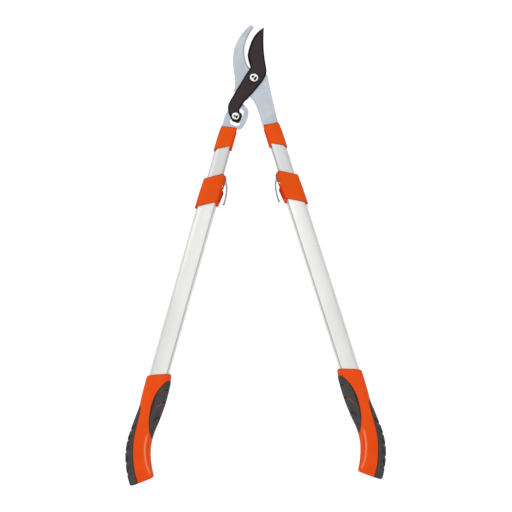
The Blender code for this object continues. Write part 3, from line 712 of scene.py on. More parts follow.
def satin_steel():
    """Forged steel, ground and pale plated: faint grinding lines, cloudy patches and rubbed rims."""
    material, tree, shader = start_material("satin_plated_steel", Metallic=1.0)
    place = tree.place()
    lines = tree.group(BRUSHING, vector=place, scale=2600.0, stretch=0.05, amount=1.0)
    clouds = tree.group(HANDLING, vector=place, scale=42.0, specks=0.12)
    worn = tree.group(WEAR, vector=place, edge=tree.mask("edge"), scale=420.0, reach=0.8)
    colour = tree.mix(clouds["Value"], PLATE_SHADE, PLATE_LIGHT)
    colour = tree.mix(worn["Mask"], colour, PLATE_RUBBED)
    rough = tree.between(lines["Value"], 0.3, 0.7, 0.34, 0.44)
    connect(tree, shader, (lines["Height"], 0.25, 0.02), Base_Color=colour, Roughness=rough)
    return material


def blade_coating():
    """Dark non-stick coating: fine orange peel, faint streaks, and near-black painted shade on its sides and
    ground edge.
    """
    material, tree, shader = start_material("blade_coating", Metallic=0.0, Specular_IOR_Level=0.14)
    place = tree.place()
    peel = tree.group(GRAIN, vector=place, scale=1300.0, amount=1.0)
    streaks = tree.group(HANDLING, vector=place, scale=60.0, specks=0.25)
    # Painted shade: where the edge mask is high, on the sides and the ground edge, the coating is painted
    # near black.
    rim = tree.between(tree.mask("edge"), 0.35, 0.75)
    worn = tree.group(WEAR, vector=place, edge=tree.mask("edge"), scale=1600.0, reach=0.04)
    colour = tree.mix(streaks["Value"], COATING_SHADE, COATING_LIGHT)
    colour = tree.mix(rim, colour, COATING_PAINTED_SHADE)
    colour = tree.mix(worn["Mask"], colour, COATING_RUBBED)
    rough = tree.between(streaks["Value"], 0.0, 1.0, 0.46, 0.56)
    connect(tree, shader, (peel["Height"], 0.2, 0.03), Base_Color=colour, Roughness=rough)
    return material


def bright_chrome():
    """Polished chrome with hairlines, finger haze, and dull creases painted near black as shade."""
    material, tree, shader = start_material("bright_chrome", Metallic=1.0)
    place = tree.place()
    haze = tree.group(HANDLING, vector=place, scale=180.0, specks=0.2)
    hairs = tree.group(BRUSHING, vector=place, scale=3200.0, stretch=0.06, amount=1.0)
    # The deep mask marks the bolts' key pockets, which are painted near black as shade and made duller.
    crease = tree.mask("deep")
    colour = tree.mix(crease, CHROME_BRIGHT, CHROME_PAINTED_SHADE)
    polish = tree.between(haze["Value"], 0.0, 1.0, 0.07, 0.16)
    rough = tree.math("ADD", polish, tree.math("MULTIPLY", crease, 0.4))
    connect(tree, shader, (hairs["Height"], 0.05, 0.01), Base_Color=colour, Roughness=rough)
    return material


def black_finish(name, fineness, spread, low_rough, high_rough, strength, distance, **values):
    """A near-black surface: fine even grain, and patches and specks a shade lighter."""
    material, tree, shader = start_material(name, **values)
    place = tree.place()
    grain = tree.group(GRAIN, vector=place, scale=fineness, amount=1.0)
    patches = tree.group(HANDLING, vector=place, scale=spread, specks=0.3)
    colour = tree.mix(patches["Value"], BLACK_SHADE, BLACK_LIGHT)
    rough = tree.between(grain["Value"], 0.3, 0.7, low_rough, high_rough)
    connect(tree, shader, (grain["Height"], strength, distance), Base_Color=colour, Roughness=rough)
    return material


def lever_steel():
    """The lever's plain plated strip, with a dark dipped tip."""
    material, tree, shader = start_material("lever_plating", Metallic=0.9)
    place = tree.place()
    lines = tree.group(BRUSHING, vector=place, scale=2400.0, stretch=0.05, amount=1.0)
    marks = tree.group(HANDLING, vector=place, scale=110.0, specks=0.2)
    colour = tree.mix(marks["Value"], LEVER_SHADE, LEVER_LIGHT)
    colour = tree.mix(tree.mask("deep"), colour, LEVER_TIP)
    rough = tree.between(lines["Value"], 0.3, 0.7, 0.26, 0.38)
    connect(tree, shader, (lines["Height"], 0.08, 0.02), Base_Color=colour, Roughness=rough)
    return material


def tube_finish(name, shade_colour, light_colour):
    """Satin silver finish on drawn aluminium: lengthwise die lines, painted light that makes it lighter
    towards its inner edge, and painted shade in the groove.
    """
    material, tree, shader = start_material(name, Metallic=0.45, Specular_IOR_Level=0.4)
    place = tree.place()
    lines = tree.group(BRUSHING, vector=place, scale=1500.0, stretch=0.012, amount=1.0)
    grain = tree.group(GRAIN, vector=place, scale=3400.0, amount=0.5)
    patches = tree.group(HANDLING, vector=place, scale=16.0, specks=0.15)
    across = tree.node("SeparateXYZ", {0: place}).outputs["X"]
    # Painted light: the colour runs from the shaded to the lit tone across the tube, lighter towards its
    # inner edge.
    polish = tree.between(across, -0.015, 0.009, 0.0, 0.75)
    shade = tree.math("ADD", polish, tree.math("MULTIPLY", patches["Value"], 0.25))
    colour = tree.mix(shade, shade_colour, light_colour)
    # Painted shade in the groove, from the edge mask.
    colour = tree.mix(tree.math("MULTIPLY", tree.mask("edge"), 0.6), colour, GROOVE_PAINTED_SHADE)
    rough = tree.between(lines["Value"], 0.25, 0.75, 0.36, 0.46)
    height = tree.math("ADD", lines["Height"], grain["Height"])
    connect(tree, shader, (height, 0.10, 0.02), Base_Color=colour, Roughness=rough)
    return material


def moulded_orange(name, shade, light, flank, level, highlight_share):
    """Moulded orange plastic: spark-eroded grain, faint flow marks, dark painted shade on flanks and rims,
    red painted shade on inner flanks, and a painted highlight on crests.
    """
    material, tree, shader = start_material(name, Specular_IOR_Level=level)
    place = tree.place()
    grain = tree.group(GRAIN, vector=place, scale=1500.0, amount=1.0)
    flow = tree.group(HANDLING, vector=place, scale=24.0, specks=0.1)
    worn = tree.group(WEAR, vector=place, edge=tree.mask("edge"), scale=500.0, reach=0.25)
    colour = tree.mix(flow["Value"], shade, light)
    # Red painted shade on a collar's inner flank and boss, and red at its tabs' tips.
    colour = tree.mix(tree.mask("under"), colour, RED_PAINTED_SHADE)
    # Dark painted shade on flanks, rims and ends.
    colour = tree.mix(tree.mask("deep"), colour, flank)
    # On the grip the edge mask is its ridge line, so the rubbed colour and the pale colour below paint a
    # highlight there; on the collars it marks rubbed rims.
    colour = tree.mix(worn["Mask"], colour, ORANGE_RUBBED)
    colour = tree.mix(tree.math("MULTIPLY", tree.mask("edge"), highlight_share), colour, ORANGE_PAINTED_HIGHLIGHT)
    rough = tree.between(grain["Value"], 0.3, 0.7, 0.36, 0.50)
    connect(tree, shader, (grain["Height"], 0.3, 0.04), Base_Color=colour, Roughness=rough)
    return material


def soft_rubber():
    """Matt moulded rubber with a fine stipple, dusty on its rims, with painted shade in its grooves, and
    darker along its border.
    """
    material, tree, shader = start_material("soft_rubber", Specular_IOR_Level=0.16)
    place = tree.place()
    stipple = tree.group(GRAIN, vector=place, scale=1900.0, amount=1.0)
    dust = tree.group(HANDLING, vector=place, scale=70.0, specks=0.35)
    worn = tree.group(WEAR, vector=place, edge=tree.mask("edge"), scale=700.0, reach=0.5)
    colour = tree.mix(dust["Value"], RUBBER_SHADE, RUBBER_LIGHT)
    colour = tree.mix(worn["Mask"], colour, RUBBER_RUBBED)
    # Painted shade in the grooves, and darker along the part's border.
    colour = tree.mix(tree.mask("deep"), colour, RUBBER_PAINTED_SHADE)
    colour = tree.mix(tree.mask("under"), colour, GROOVE_ORANGE)
    rough = tree.between(dust["Value"], 0.0, 1.0, 0.62, 0.78)
    connect(tree, shader, (stipple["Height"], 0.35, 0.05), Base_Color=colour, Roughness=rough)
    return material


STEEL = satin_steel()
COATING = blade_coating()
CHROME = bright_chrome()
LEVER_STEEL = lever_steel()
BLACK_STEEL = black_finish("blackened_steel", 2200.0, 120.0, 0.36, 0.52, 0.12, 0.02, Metallic=0.85)
NYLON = black_finish("black_nylon", 1700.0, 90.0, 0.42, 0.56, 0.2, 0.03, Specular_IOR_Level=0.4)
INNER_FINISH = tube_finish("inner_tube_satin", INNER_SHADE, INNER_LIGHT)
OUTER_FINISH = tube_finish("outer_tube_satin", OUTER_SHADE, OUTER_LIGHT)
COLLAR_ORANGE = moulded_orange("collar_orange", COLLAR_SHADE, COLLAR_LIGHT, COLLAR_PAINTED_SHADE, 0.09, 0.0)
GRIP_ORANGE = moulded_orange("grip_orange", GRIP_SHADE, GRIP_LIGHT, GRIP_PAINTED_SHADE, 0.10, 0.6)
RUBBER = soft_rubber()


# ---------------------------------------------------------------- head


def joined(runs):
    """Runs of points end to end, with the number of the run that each point came from."""
    points = np.vstack([np.asarray(run, float) for run in runs])
    numbers = np.concatenate([np.full(len(run), number) for number, run in enumerate(runs)])
    return points, numbers


def smoothed(values, reach):
    """A moving average round a closed outline."""
    kernel = np.ones(2 * reach + 1) / (2 * reach + 1)
    return np.convolve(np.concatenate([values[-reach:], values, values[:reach]]), kernel, "valid")


def collar_top(u):
    """The slanted top edge of a tang collar."""
    return 0.2 - 0.13 * u


def rounded_rows(low, high, width, drop, flatness):
    """Rows from a plate's bottom to its top: a small round below, and above a round or a flat bevel.

    At step a from 0 to 90 degrees a round is inset by 1 - cos a and has still sin a to rise, and a flat
    bevel goes straight between the same ends.
    """
    turn = np.radians([0, 22.5, 45, 67.5, 90])[:, None]
    inset = (1 - np.cos(turn)) * (1 - flatness) + turn / (np.pi / 2) * flatness
    rise = np.sin(turn) * (1 - flatness) + turn / (np.pi / 2) * flatness
    lower = [(0.45, low), (0.13, low + 0.13), (0.0, low + 0.45)]
    return [*lower, *((inset[k] * width, high - drop * (1 - rise[k])) for k in range(5))]


def make_hook():
    """The hooked counter blade and the right tang, one forging, with a ground bevel inside the hook.

    ground is 1 on the hook's inner edge and fades over a few points to 0 elsewhere. It widens the bevel
    and turns it from a round into a flat.
    """
    back = smooth_path([
        (-34.1, -22.4), (-32.6, -13.0), (-32.6, 0.0), (-34.4, 11.0), (-35.8, 22.0), (-35.9, 36.0),
        (-33.7, 49.0), (-30.2, 59.4), (-24.7, 69.6), (-17.1, 79.8), (-9.6, 87.4), (-7.0, 89.4),
        (-4.0, 89.7), (-1.8, 88.4), (-0.8, 86.2), (-1.2, 84.4), (-2.6, 82.6),
    ], 10)
    inner = smooth_path([
        (-2.6, 82.6), (-6.6, 77.6), (-10.3, 69.4), (-13.6, 62.4), (-15.9, 53.0), (-16.5, 44.0),
        (-15.4, 33.7), (-12.2, 24.0), (-8.4, 18.0), (0.0, 14.6),
    ], 10)[1:]
    shoulder = smooth_path([(0.0, 14.6), (8.0, 13.6), (15.0, 11.0), (20.4, 6.6), (23.6, 2.0)], 6)[1:]
    right_edge = smooth_path([
        (23.6, 2.0), (25.6, -9.0), (27.6, -19.0), (30.6, -32.0), (34.2, -49.0), (37.0, -60.5),
        RIGHT.in_head(-12.9, -9.0),
    ], 8)[1:]
    collar_end = [RIGHT.in_head(u, collar_top(u) - GAP) for u in np.linspace(-12.9, 13.9, 8)]
    left_edge = smooth_path([
        RIGHT.in_head(14.2, -10.0), (9.4, -63.2), (6.2, -54.0), (3.4, -46.8), (-1.2, -38.6), (-5.6, -33.2),
    ], 8)
    lobe = arc(TANG_PIVOT, TANG_LOBE, -24, -112, 24)
    outline, run = joined([back, inner, shoulder, right_edge, collar_end, left_edge, lobe])
    ground = smoothed((run == 1).astype(float), GRINDING_REACH)
    outline, ground = anticlockwise(outline, ground)
    width = 0.75 + 1.75 * ground
    drop = 0.70 + 0.55 * ground
    rows = rounded_rows(HOOK_BOTTOM, HOOK_TOP, width, drop, ground)
    holes = [circle((0, 0), MAIN_HOLE), circle(TANG_PIVOT, RIVET_HOLE)]
    forging = plate(outline, rows, holes, [0.2, 0.6, 1.0, 1.0, 0.8, 0.6, 0.3, 0.0])
    neck = shank()
    neck.points = HEAD.local(RIGHT.world(neck.points))
    make_piece(
        "hooked_counter_blade", [forging, neck], HEAD, STEEL, "hook_and_right_arm", "forged_steel",
        "counter_blade",
    )


def shank():
    """The flat-sided neck of the right tang inside its tube, a superellipse drawn out along v.

    Its upper half rises to full height only inside the collar, as the tang's own face runs up to it.
    """
    angle = np.arange(64) * 2 * np.pi / 64
    u, w = superellipse(angle, 9.8, 9.8, 7.1, 5.0)
    rows = []
    for v, narrow, lift in (
        (-5.5, 1.0, 0.0), (-5.0, 1.0, 0.0), (-0.6, 1.0, 0.0), (2.2, 1.0, 1.0), (59.0, 1.0, 1.0),
        (60.0, 0.93, 0.93),
    ):
        height = np.where(w > 0, w * lift - 0.2 * (1 - lift), w * narrow)
        rows.append(np.column_stack([u * narrow, np.full(64, v), height]))
    return shell(np.stack(rows))


def make_blade():
    """The coated cutting blade: hollow-ground along its convex edge and chamfered all round its top.

    Each point of the outline has a share of grinding, 1 on the cutting edge, which fades at its root.
    The ground face rises from a thin edge over the whole width, and the plain sides stand up straight
    to a chamfer, and both narrow towards the tip.
    """
    edge = smooth_path([
        BLADE_TIP, (8.4, 79.9), (-0.2, 69.9), (-5.4, 59.4), (-9.2, 47.4), (-10.8, 38.0), (-9.3, 28.6),
        (-6.0, 17.6),
    ], 16)
    shoulder = smooth_path([(-8.6, 13.3), (-15.4, 3.1), (-23.0, -9.7), (-26.6, -15.4)], 8)
    left_side = smooth_path([
        (-28.2, -17.6), (-35.8, -30.8), (-42.6, -43.0), (-44.4, -50.5), (-43.4, -59.5),
    ], 10)
    lobe = arc(SLIDER_PIVOT, TAIL_LOBE, 190, 350, 32)
    right_side = smooth_path([
        (-24.9, -56.8), (-23.6, -51.4), (-18.3, -43.6), (-12.6, -36.6), (-3.5, -27.2), (5.4, -16.6),
        (13.5, -6.6), (19.4, 3.1), (21.2, 10.6), (20.4, 18.4), (18.4, 30.3), (16.8, 44.0),
        (16.1, 58.0), (16.2, 72.0), BLADE_TIP,
    ], 10)[:-1]
    outline, run = joined([edge, shoulder, left_side, lobe, right_side])
    grinding = (run == 0).astype(float)
    grinding[run == 0] *= ease(np.linspace(1.0, 0.0, len(edge)) * 9)
    grinding = smoothed(grinding, GRINDING_REACH)
    taper = past(np.linalg.norm(outline - np.array(BLADE_TIP), axis=1), 0.0, 15.0)
    width = (2.7 + 1.45 * grinding) * taper + 0.06
    foot = BLADE_BOTTOM + 0.35
    side_top = BLADE_TOP - 1.25
    rows = [
        (0.12, BLADE_BOTTOM),
        (0.0, foot),
        (width * 0.25 * grinding, side_top * (1 - grinding) + (foot + 1.35) * grinding),
        (width * 0.66, BLADE_TOP - 0.50 - 0.55 * grinding),
        (width * 0.95, BLADE_TOP - 0.08),
        (width + 0.22, BLADE_TOP),
    ]
    holes = [circle((0, 0), MAIN_HOLE), circle(SLIDER_PIVOT, SLIDER_HOLE)]
    # The edge mask, 1 on the sides and the ground face and 0.5 on the chamfer, places the coating's painted
    # shade.
    body = plate(outline, rows, holes, [1.0, 1.0, 1.0, 1.0, 0.5, 0.0])
    make_piece("bypass_blade", [body], HEAD, COATING, "blade", "blade_coating", "cutting_blade")


def pocket(centre, start, end, radius, steps=12):
    """A clockwise stadium round the line from start to end: a half circle at each, or a whole one."""
    start, end = np.array(start, float) + centre, np.array(end, float) + centre
    lean = math.degrees(math.atan2(*(end - start)[::-1]))
    return np.vstack([
        arc(end, radius, lean + 90, lean - 90, steps), arc(start, radius, lean - 90, lean - 270, steps),
    ])


def bolt(centre, shank_radius, low, shape, pockets):
    """A domed bolt, turned, with a flat crown into which the key's two pockets are sunk.

    The profile rises from the shank to the head's rim and round the dome to the crown. Each pocket's
    wall goes down in three steps, and the crown is triangulated between its rim and the pockets.
    """
    head, seat, top = shape
    rise = top - seat
    profile = [
        (shank_radius, low), (shank_radius, seat), (head - 0.5, seat), (head, seat + 0.4),
        (head, seat + rise * 0.42), (head * 0.975, seat + rise * 0.62), (head * 0.91, seat + rise * 0.80),
        (head * 0.84, seat + rise * 0.93), (head * 0.76, top - 0.06), (head * 0.70, top),
    ]
    parts = [turned(profile, centre, BOLT_STEPS).points]
    faces = grid_faces(len(profile), BOLT_STEPS) + [list(range(BOLT_STEPS))]
    count = len(parts[0])
    loops = [np.arange(count - BOLT_STEPS, count)]
    deep = [np.zeros(count)]
    for start, end, radius in pockets:
        outline = pocket(centre, start, end, radius)
        size = len(outline)
        wall = rings_of(outline, [(0.12, top), (0.0, top - 0.15), (-0.12, top - 1.5), (-0.3, top - 1.6)])
        parts.append(wall.reshape(-1, 3))
        faces += (np.array(grid_faces(4, size)) + count).tolist()
        faces.append(list(range(count + 3 * size, count + 4 * size)))
        loops.append(np.arange(size) + count)
        # Painted shade: 0.2 at each pocket's rim and 1 down its wall and floor.
        deep.append(np.repeat([0.2, 1.0, 1.0, 1.0], size))
        count += 4 * size
    points = np.vstack(parts)
    crown = tessellate_polygon([points[loop].tolist() for loop in loops])
    flat = [False] * len(faces) + [True] * len(crown)
    faces += np.concatenate(loops)[np.array(crown)].tolist()
    return Surface(points, faces, flat, deep=np.concatenate(deep))


def make_fasteners():
    """The bolts, washers, nuts and rivet of the head, and the block that slides in the tang's slot."""
    head = "hook_and_right_arm"
    main_bolt = bolt(np.zeros(2), 4.0, 0.8, MAIN_BOLT, MAIN_POCKETS)
    make_piece("pivot_bolt", [main_bolt], HEAD, CHROME, head, "bright_chrome", "main_pivot_bolt")
    washer = turned([
        (4.4, 19.85), (8.5, 19.8), (8.8, 19.95), (8.8, 20.35), (8.5, 20.6), (4.4, 20.55),
    ], steps=BOLT_STEPS, closed=True)
    make_piece("pivot_washer", [washer], HEAD, BLACK_STEEL, head, "black_steel", "main_pivot_washer")
    tail_bolt = bolt(SLIDER_PIVOT, 3.0, 0.7, TAIL_BOLT, TAIL_POCKETS)
    make_piece("tail_bolt", [tail_bolt], HEAD, CHROME, "blade", "bright_chrome", "slider_bolt")
    for node, name, rounding, body, material, slot in (
        ("main_pivot_nut", "pivot_flange_nut", 0.3, head, CHROME, "bright_chrome"),
        ("tang_pivot_rivet", "tang_rivet", 0.3, head, CHROME, "bright_chrome"),
        ("slider_washer", "tail_washer", 0.12, "blade", BLACK_STEEL, "black_steel"),
        ("slider_nut", "tail_nut", 0.25, "blade", CHROME, "bright_chrome"),
        ("slider_block", "sliding_block", 0.4, "slider", NYLON, "black_plastic"),
        ("left_tang", "slotted_left_tang", 0.45, "left_arm", STEEL, "forged_steel"),
    ):
        soften(node, name, rounding, HEAD, material, body)


# ---------------------------------------------------------------- tubes and collars


def tube(half_width, half_depth, wall, groove, top, end):
    """A drawn tube: a superellipse, dipped by a round groove on both faces, swept straight down v.

    The groove's depth falls from its middle as 1 - (distance / half width) squared.
    """
    angle = (np.arange(240) + 0.5) * 2 * np.pi / 240
    u, w = superellipse(angle, half_width, half_width, half_depth, TUBE_ROUNDNESS)
    dip = np.clip(1 - ((u - groove) / GROOVE_HALF) ** 2, 0, 1)
    w = w - np.sign(w) * dip * GROOVE_DEPTH
    rows = []
    for inset, v in (
        (wall, top), (0.35, top), (0.1, top + 0.1), (0.0, top + 0.35), (0.0, end - 0.35),
        (0.1, end - 0.1), (0.35, end), (wall, end),
    ):
        narrow = (half_width - inset) / half_width
        rows.append(np.column_stack([
            u * narrow, np.full(len(u), v), w - np.sign(w) * inset * np.minimum(1, np.abs(w) / 4),
        ]))
    # The groove's dip is the edge mask, where the finish paints shade.
    return shell(np.stack(rows), closed=True, edge=dip)


def side_pin(profile, v):
    """A round solid lying along u at one v: (radius, u) pairs turned about that line."""
    lying = turned(profile, (v, 0.0), PIN_STEPS)
    lying.points = lying.points[:, [2, 0, 1]]
    return lying


def make_tubes(side):
    """The two tubes of a handle. The inner one has a row of round notches across its inner edge."""
    inner = tube(*INNER_TUBE, INNER_TOP, INNER_END)
    notches = [
        side_pin([(NOTCH_RADIUS, 8.0), (NOTCH_RADIUS, 18.0)], NOTCH_V + NOTCH_PITCH * step)
        for step in NOTCH_STEPS
    ]
    make_piece(
        side.name + "_inner_pole", [inner], side, INNER_FINISH, side.arm, "tube_aluminium",
        side.name + "_inner_tube", cutters=notches,
    )
    outer = tube(*OUTER_TUBE, OUTER_TOP, OUTER_END)
    make_piece(
        side.name + "_outer_pole", [outer], side, OUTER_FINISH, side.handle, "tube_aluminium",
        side.name + "_outer_tube",
    )


def widths_along(stations):
    """Smooth curves through (v, half width inside, half width outside, half depth) stations."""
    path = smooth_path(stations, 12)
    return lambda v: [np.interp(v, path[:, 0], path[:, column]) for column in (1, 2, 3)]


def sleeve(stations, top_edge, bottom_edge, roundness, bore, colour):
    """A moulded sleeve between two slanted edges, with rounded rims and a stepped bore.

    A column starts at v = top(u) and ends at v = bottom(u). Since u depends on the width there and v on u,
    the two are worked out in turns until they agree. Row t lies at v = top + t (bottom - top), and has the
    widths that the stations give there. colour gives the masks deep, edge and under of its outside.
    """
    angle = (np.arange(160) + 0.5) * 2 * np.pi / 160
    widths = widths_along(stations)
    rim = [(0, 0.95, 0.0), (0, 0.42, 0.08), (0, 0.12, 0.38), (0, 0.0, 0.9)]
    body = [(t, 0.0, 0.9 - 1.8 * t) for t in np.linspace(0, 1, 64)[1:-1]]
    other_rim = [(1, inset, -rise) for _, inset, rise in reversed(rim)]
    share, inset, shift = (np.array(part)[:, None] for part in zip(*rim, *body, *other_rim))
    ends = []
    for edge_of, guess in ((top_edge, stations[0][0]), (bottom_edge, stations[-1][0])):
        v = np.full(len(angle), float(guess))
        for _ in range(20):
            half_in, half_out, half_depth = widths(v)
            v = 0.5 * v + 0.5 * edge_of(superellipse(angle, half_in, half_out, half_depth, roundness)[0])
        ends.append(v)
    top, bottom = ends
    v = top + share * (bottom - top) + shift
    half_in, half_out, half_depth = widths(v)
    u, w = superellipse(angle, half_in - inset, half_out - inset, half_depth - inset, roundness)
    outside = np.stack([u, v, w], axis=-1)
    inside = []
    for (half_width, half_depth, shape), station in bore:
        u_in, w_in = superellipse(angle, half_width, half_width, half_depth, shape)
        v_in = station(u_in) if callable(station) else np.full(len(angle), station)
        inside.append(np.column_stack([u_in, v_in, w_in]))
    grid = np.concatenate([outside, np.stack(inside)])
    blank = np.zeros((len(inside), len(angle)))
    masks = colour(outside, half_in, half_out, bottom)
    deep, edge, under = (np.vstack([np.clip(mask, 0, 1), blank]) for mask in masks)
    return shell(grid, closed=True, edge=edge, deep=deep, under=under)


def make_tang_collar(side):
    """The sleeve over the joint of tang and inner tube, with red painted shade on its inner flank, and red
    tab tips.
    """

    def bottom_edge(u):
        """Slanted, with a long tab on the inner side and a short one on the outer."""
        return 36.4 - 0.5 * u + 3.0 * past(-u, 10.5, 2.4) + 9.0 * past(u, 9.9, 2.4)

    def colour(points, half_in, half_out, bottom):
        """Red painted shade on the inner flank, red at the tabs' tips, and dark painted shade lines on the
        outer edge and both rims.
        """
        u, v, _ = np.moveaxis(points, -1, 0)
        flank = past(u - half_in, -2.9, 0.7) * past(v, 3.5, 2.5)
        outer_line = 0.6 * past(-u - half_out, -1.9, 0.8)
        tips = past(v - bottom, -3.4, 1.5) * past(np.abs(u), 9.5, 2.0)
        rim = 0.55 * past(v - bottom, -1.5, 0.7) + 0.6 * short_of(v - collar_top(u), 1.5, 0.7)
        return np.maximum(outer_line, rim), rim, np.maximum(flank, tips)

    room = (INNER_TUBE[0] + GAP, INNER_TUBE[1] + GAP, TUBE_ROUNDNESS)
    mouth = (10.1, 7.4, 5.0)
    stations = [
        (-3.0, 12.9, 12.6, 11.2), (-0.5, 13.4, 13.2, 11.5), (2.4, 14.1, 13.4, 11.6), (3.6, 13.5, 13.5, 11.6),
        (4.8, 13.4, 13.6, 11.5), (6.4, 14.7, 13.9, 11.4), (12.0, 14.8, 14.4, 11.3), (22.0, 14.8, 14.8, 11.2),
        (36.0, 15.0, 15.0, 10.8), (56.0, 15.0, 15.0, 10.6),
    ]
    bore = [(room, bottom_edge), (room, INNER_TOP - GAP), (mouth, INNER_TOP - GAP), (mouth, collar_top)]
    body = sleeve(stations, collar_top, bottom_edge, 3.4, bore, colour)
    name = side.name + "_tang_"
    make_piece(name + "sleeve", [body], side, COLLAR_ORANGE, side.arm, "orange_plastic", name + "collar")


def latch_collar_top(u):
    """The slanted top edge of the latch collar, lower again at its inner shoulder."""
    return 86.1 - 0.546 * u + np.maximum(0, u - 12.0) * 1.06


def latch_collar_bottom(u):
    """The slanted lower edge of the latch collar, with a tab down each side."""
    return 136.1 - 0.523 * u + 9.0 * past(u, 13.4, 2.4) + 3.0 * past(-u, 14.4, 2.4)


def make_latch_collar(side):
    """The collar that joins the tubes, with the lever's slot, its pin hole and the boss below it."""

    def colour(points, half_in, half_out, bottom):
        """Red painted shade on the boss with darker painted shade on its side, red tips, and dark painted
        shade lines above the boss and on edges and rims.
        """
        u, v, _ = np.moveaxis(points, -1, 0)
        in_boss = past(v, 106.6, 1.6) * short_of(v, 129.5, 3.0)
        boss = in_boss * past(u - half_in, -6.6, 1.2)
        boss_side = in_boss * past(u - half_in, -2.6, 0.9)
        above = 0.7 * short_of(v, 106.0, 1.0) * past(u - half_in, -2.2, 0.8)
        outer_line = 0.6 * past(-u - half_out, -2.0, 0.9)
        tips = past(v - bottom, -3.6, 1.5) * past(np.abs(u), 13.0, 2.2)
        rim = 0.55 * past(v - bottom, -1.5, 0.7) + 0.7 * short_of(v - latch_collar_top(u), 1.8, 0.8)
        return np.maximum.reduce([boss_side, above, outer_line, rim]), rim, np.maximum(boss, tips)

    small = (INNER_TUBE[0] + GAP, INNER_TUBE[1] + GAP, TUBE_ROUNDNESS)
    large = (OUTER_TUBE[0] + GAP, OUTER_TUBE[1] + GAP, TUBE_ROUNDNESS)
    stations = [
        (76.0, 17.4, 16.6, 13.2), (84.0, 18.0, 16.9, 13.8), (92.0, 18.7, 17.4, 14.2),
        (98.0, 18.9, 17.8, 14.4), (104.0, 19.3, 18.1, 14.4), (106.4, 18.2, 18.2, 14.4),
        (108.0, 19.2, 18.3, 14.4), (111.0, 21.2, 18.4, 14.4), (118.0, 20.8, 18.8, 14.4),
        (126.0, 20.0, 19.0, 14.3), (136.0, 19.2, 19.1, 14.1), (152.0, 19.0, 19.2, 13.9),
    ]
    step = OUTER_TOP - GAP
    bore = [(large, latch_collar_bottom), (large, step), (small, step), (small, latch_collar_top)]
    body = sleeve(stations, latch_collar_top, latch_collar_bottom, 3.2, bore, colour)
    slot_outline = np.array([(12.0, 84.4), (28.0, 84.4), (28.0, 105.4), (12.0, 105.4)])
    slot = plate(*anticlockwise(slot_outline), [(0, -5.6), (0, 5.6)])
    hole_radius = LATCH_PIN_RADIUS + 0.2
    hole = turned([(hole_radius, -MIDDLE), (hole_radius, MIDDLE)], (LATCH_U, LATCH_V), PIN_STEPS)
    make_piece(
        side.name + "_latch_housing", [body], side, COLLAR_ORANGE, side.handle, "orange_plastic",
        side.name + "_latch_collar", cutters=[slot, hole],
    )
    upper = [(LATCH_PIN_RADIUS, 10.3), (1.1, 10.6), (0.75, 10.9), (0.3, 11.0)]
    lower = [(radius, -w) for radius, w in reversed(upper)]
    pin = turned(lower + upper, (LATCH_U, LATCH_V), PIN_STEPS)
    make_piece(
        side.name + "_lever_pin", [pin], side, CHROME, side.handle, "bright_chrome",
        side.name + "_latch_pin",
    )


def strip_section(half_strip, half_width, steps=6):
    """A rounded rectangle as (across the strip, w) points, whose corners are quarter circles."""
    radius = half_strip * 0.6
    corners = []
    for start, sign_a, sign_w in ((0, 1, 1), (90, -1, 1), (180, -1, -1), (270, 1, -1)):
        turn = np.radians(np.linspace(start, start + 90, steps))
        corners.append(np.column_stack([
            sign_a * (half_strip - radius) + radius * np.cos(turn),
            sign_w * (half_width - radius) + radius * np.sin(turn),
        ]))
    return np.vstack(corners)


def make_lever(side):
    """The bent strip lever, its ears on the latch pin, its lock peg and its spring.

    The strip's section is carried along the centre line, moved across it by the section's own width.
    """
    line = smooth_path([
        (17.9, 84.8), (18.9, 89.5), (21.2, 94.5), (23.6, 99.5), (25.4, 106.0), (26.7, 115.0),
        (27.3, 124.0), (26.7, 130.6),
    ], 12)
    along = np.gradient(line, axis=0)
    along /= np.linalg.norm(along, axis=1)[:, None]
    across = np.column_stack([along[:, 1], -along[:, 0]])
    section = strip_section(LEVER_HALF_STRIP, LEVER_HALF_WIDTH)
    flat = line[:, None] + across[:, None] * section[None, :, :1]
    grid = np.dstack([flat, np.broadcast_to(section[:, 1], flat.shape[:2])])
    dark_tip = ease((line[:, 1] - 127.2) / 0.8)[:, None]
    strip = shell(grid, deep=dark_tip)
    near = line[line[:, 1] < 93.0]
    ear, = anticlockwise(np.vstack([near, arc((LATCH_U, LATCH_V), EAR_RADIUS, 0, 180, 20)]))
    hole = circle((LATCH_U, LATCH_V), LATCH_PIN_RADIUS + 0.3, 24)
    round_off = 0.15
    ears = []
    for low in (-LEVER_HALF_WIDTH, LEVER_HALF_WIDTH - EAR_THICKNESS):
        high = low + EAR_THICKNESS
        rows = [(round_off, low), (0.0, low + round_off), (0.0, high - round_off), (round_off, high)]
        ears.append(plate(ear, rows, [hole]))
    make_piece(
        side.name + "_release_lever", [strip, *ears], side, LEVER_STEEL, side.lever, "forged_steel",
        side.name + "_latch_lever",
    )
    peg = side_pin([
        (1.3, 12.3), (1.7, 12.5), (2.0, 12.9), (2.0, 16.5), (1.9, 16.6), (1.4, 16.7), (1.4, 18.8),
        (1.2, 19.0),
    ], NOTCH_V)
    make_piece(
        side.name + "_locking_peg", [peg], side, CHROME, side.lever, "bright_chrome",
        side.name + "_lock_peg",
    )
    make_piece(
        side.name + "_lever_spring", [coil()], side, CHROME, side.lever, "bright_chrome",
        side.name + "_latch_spring",
    )


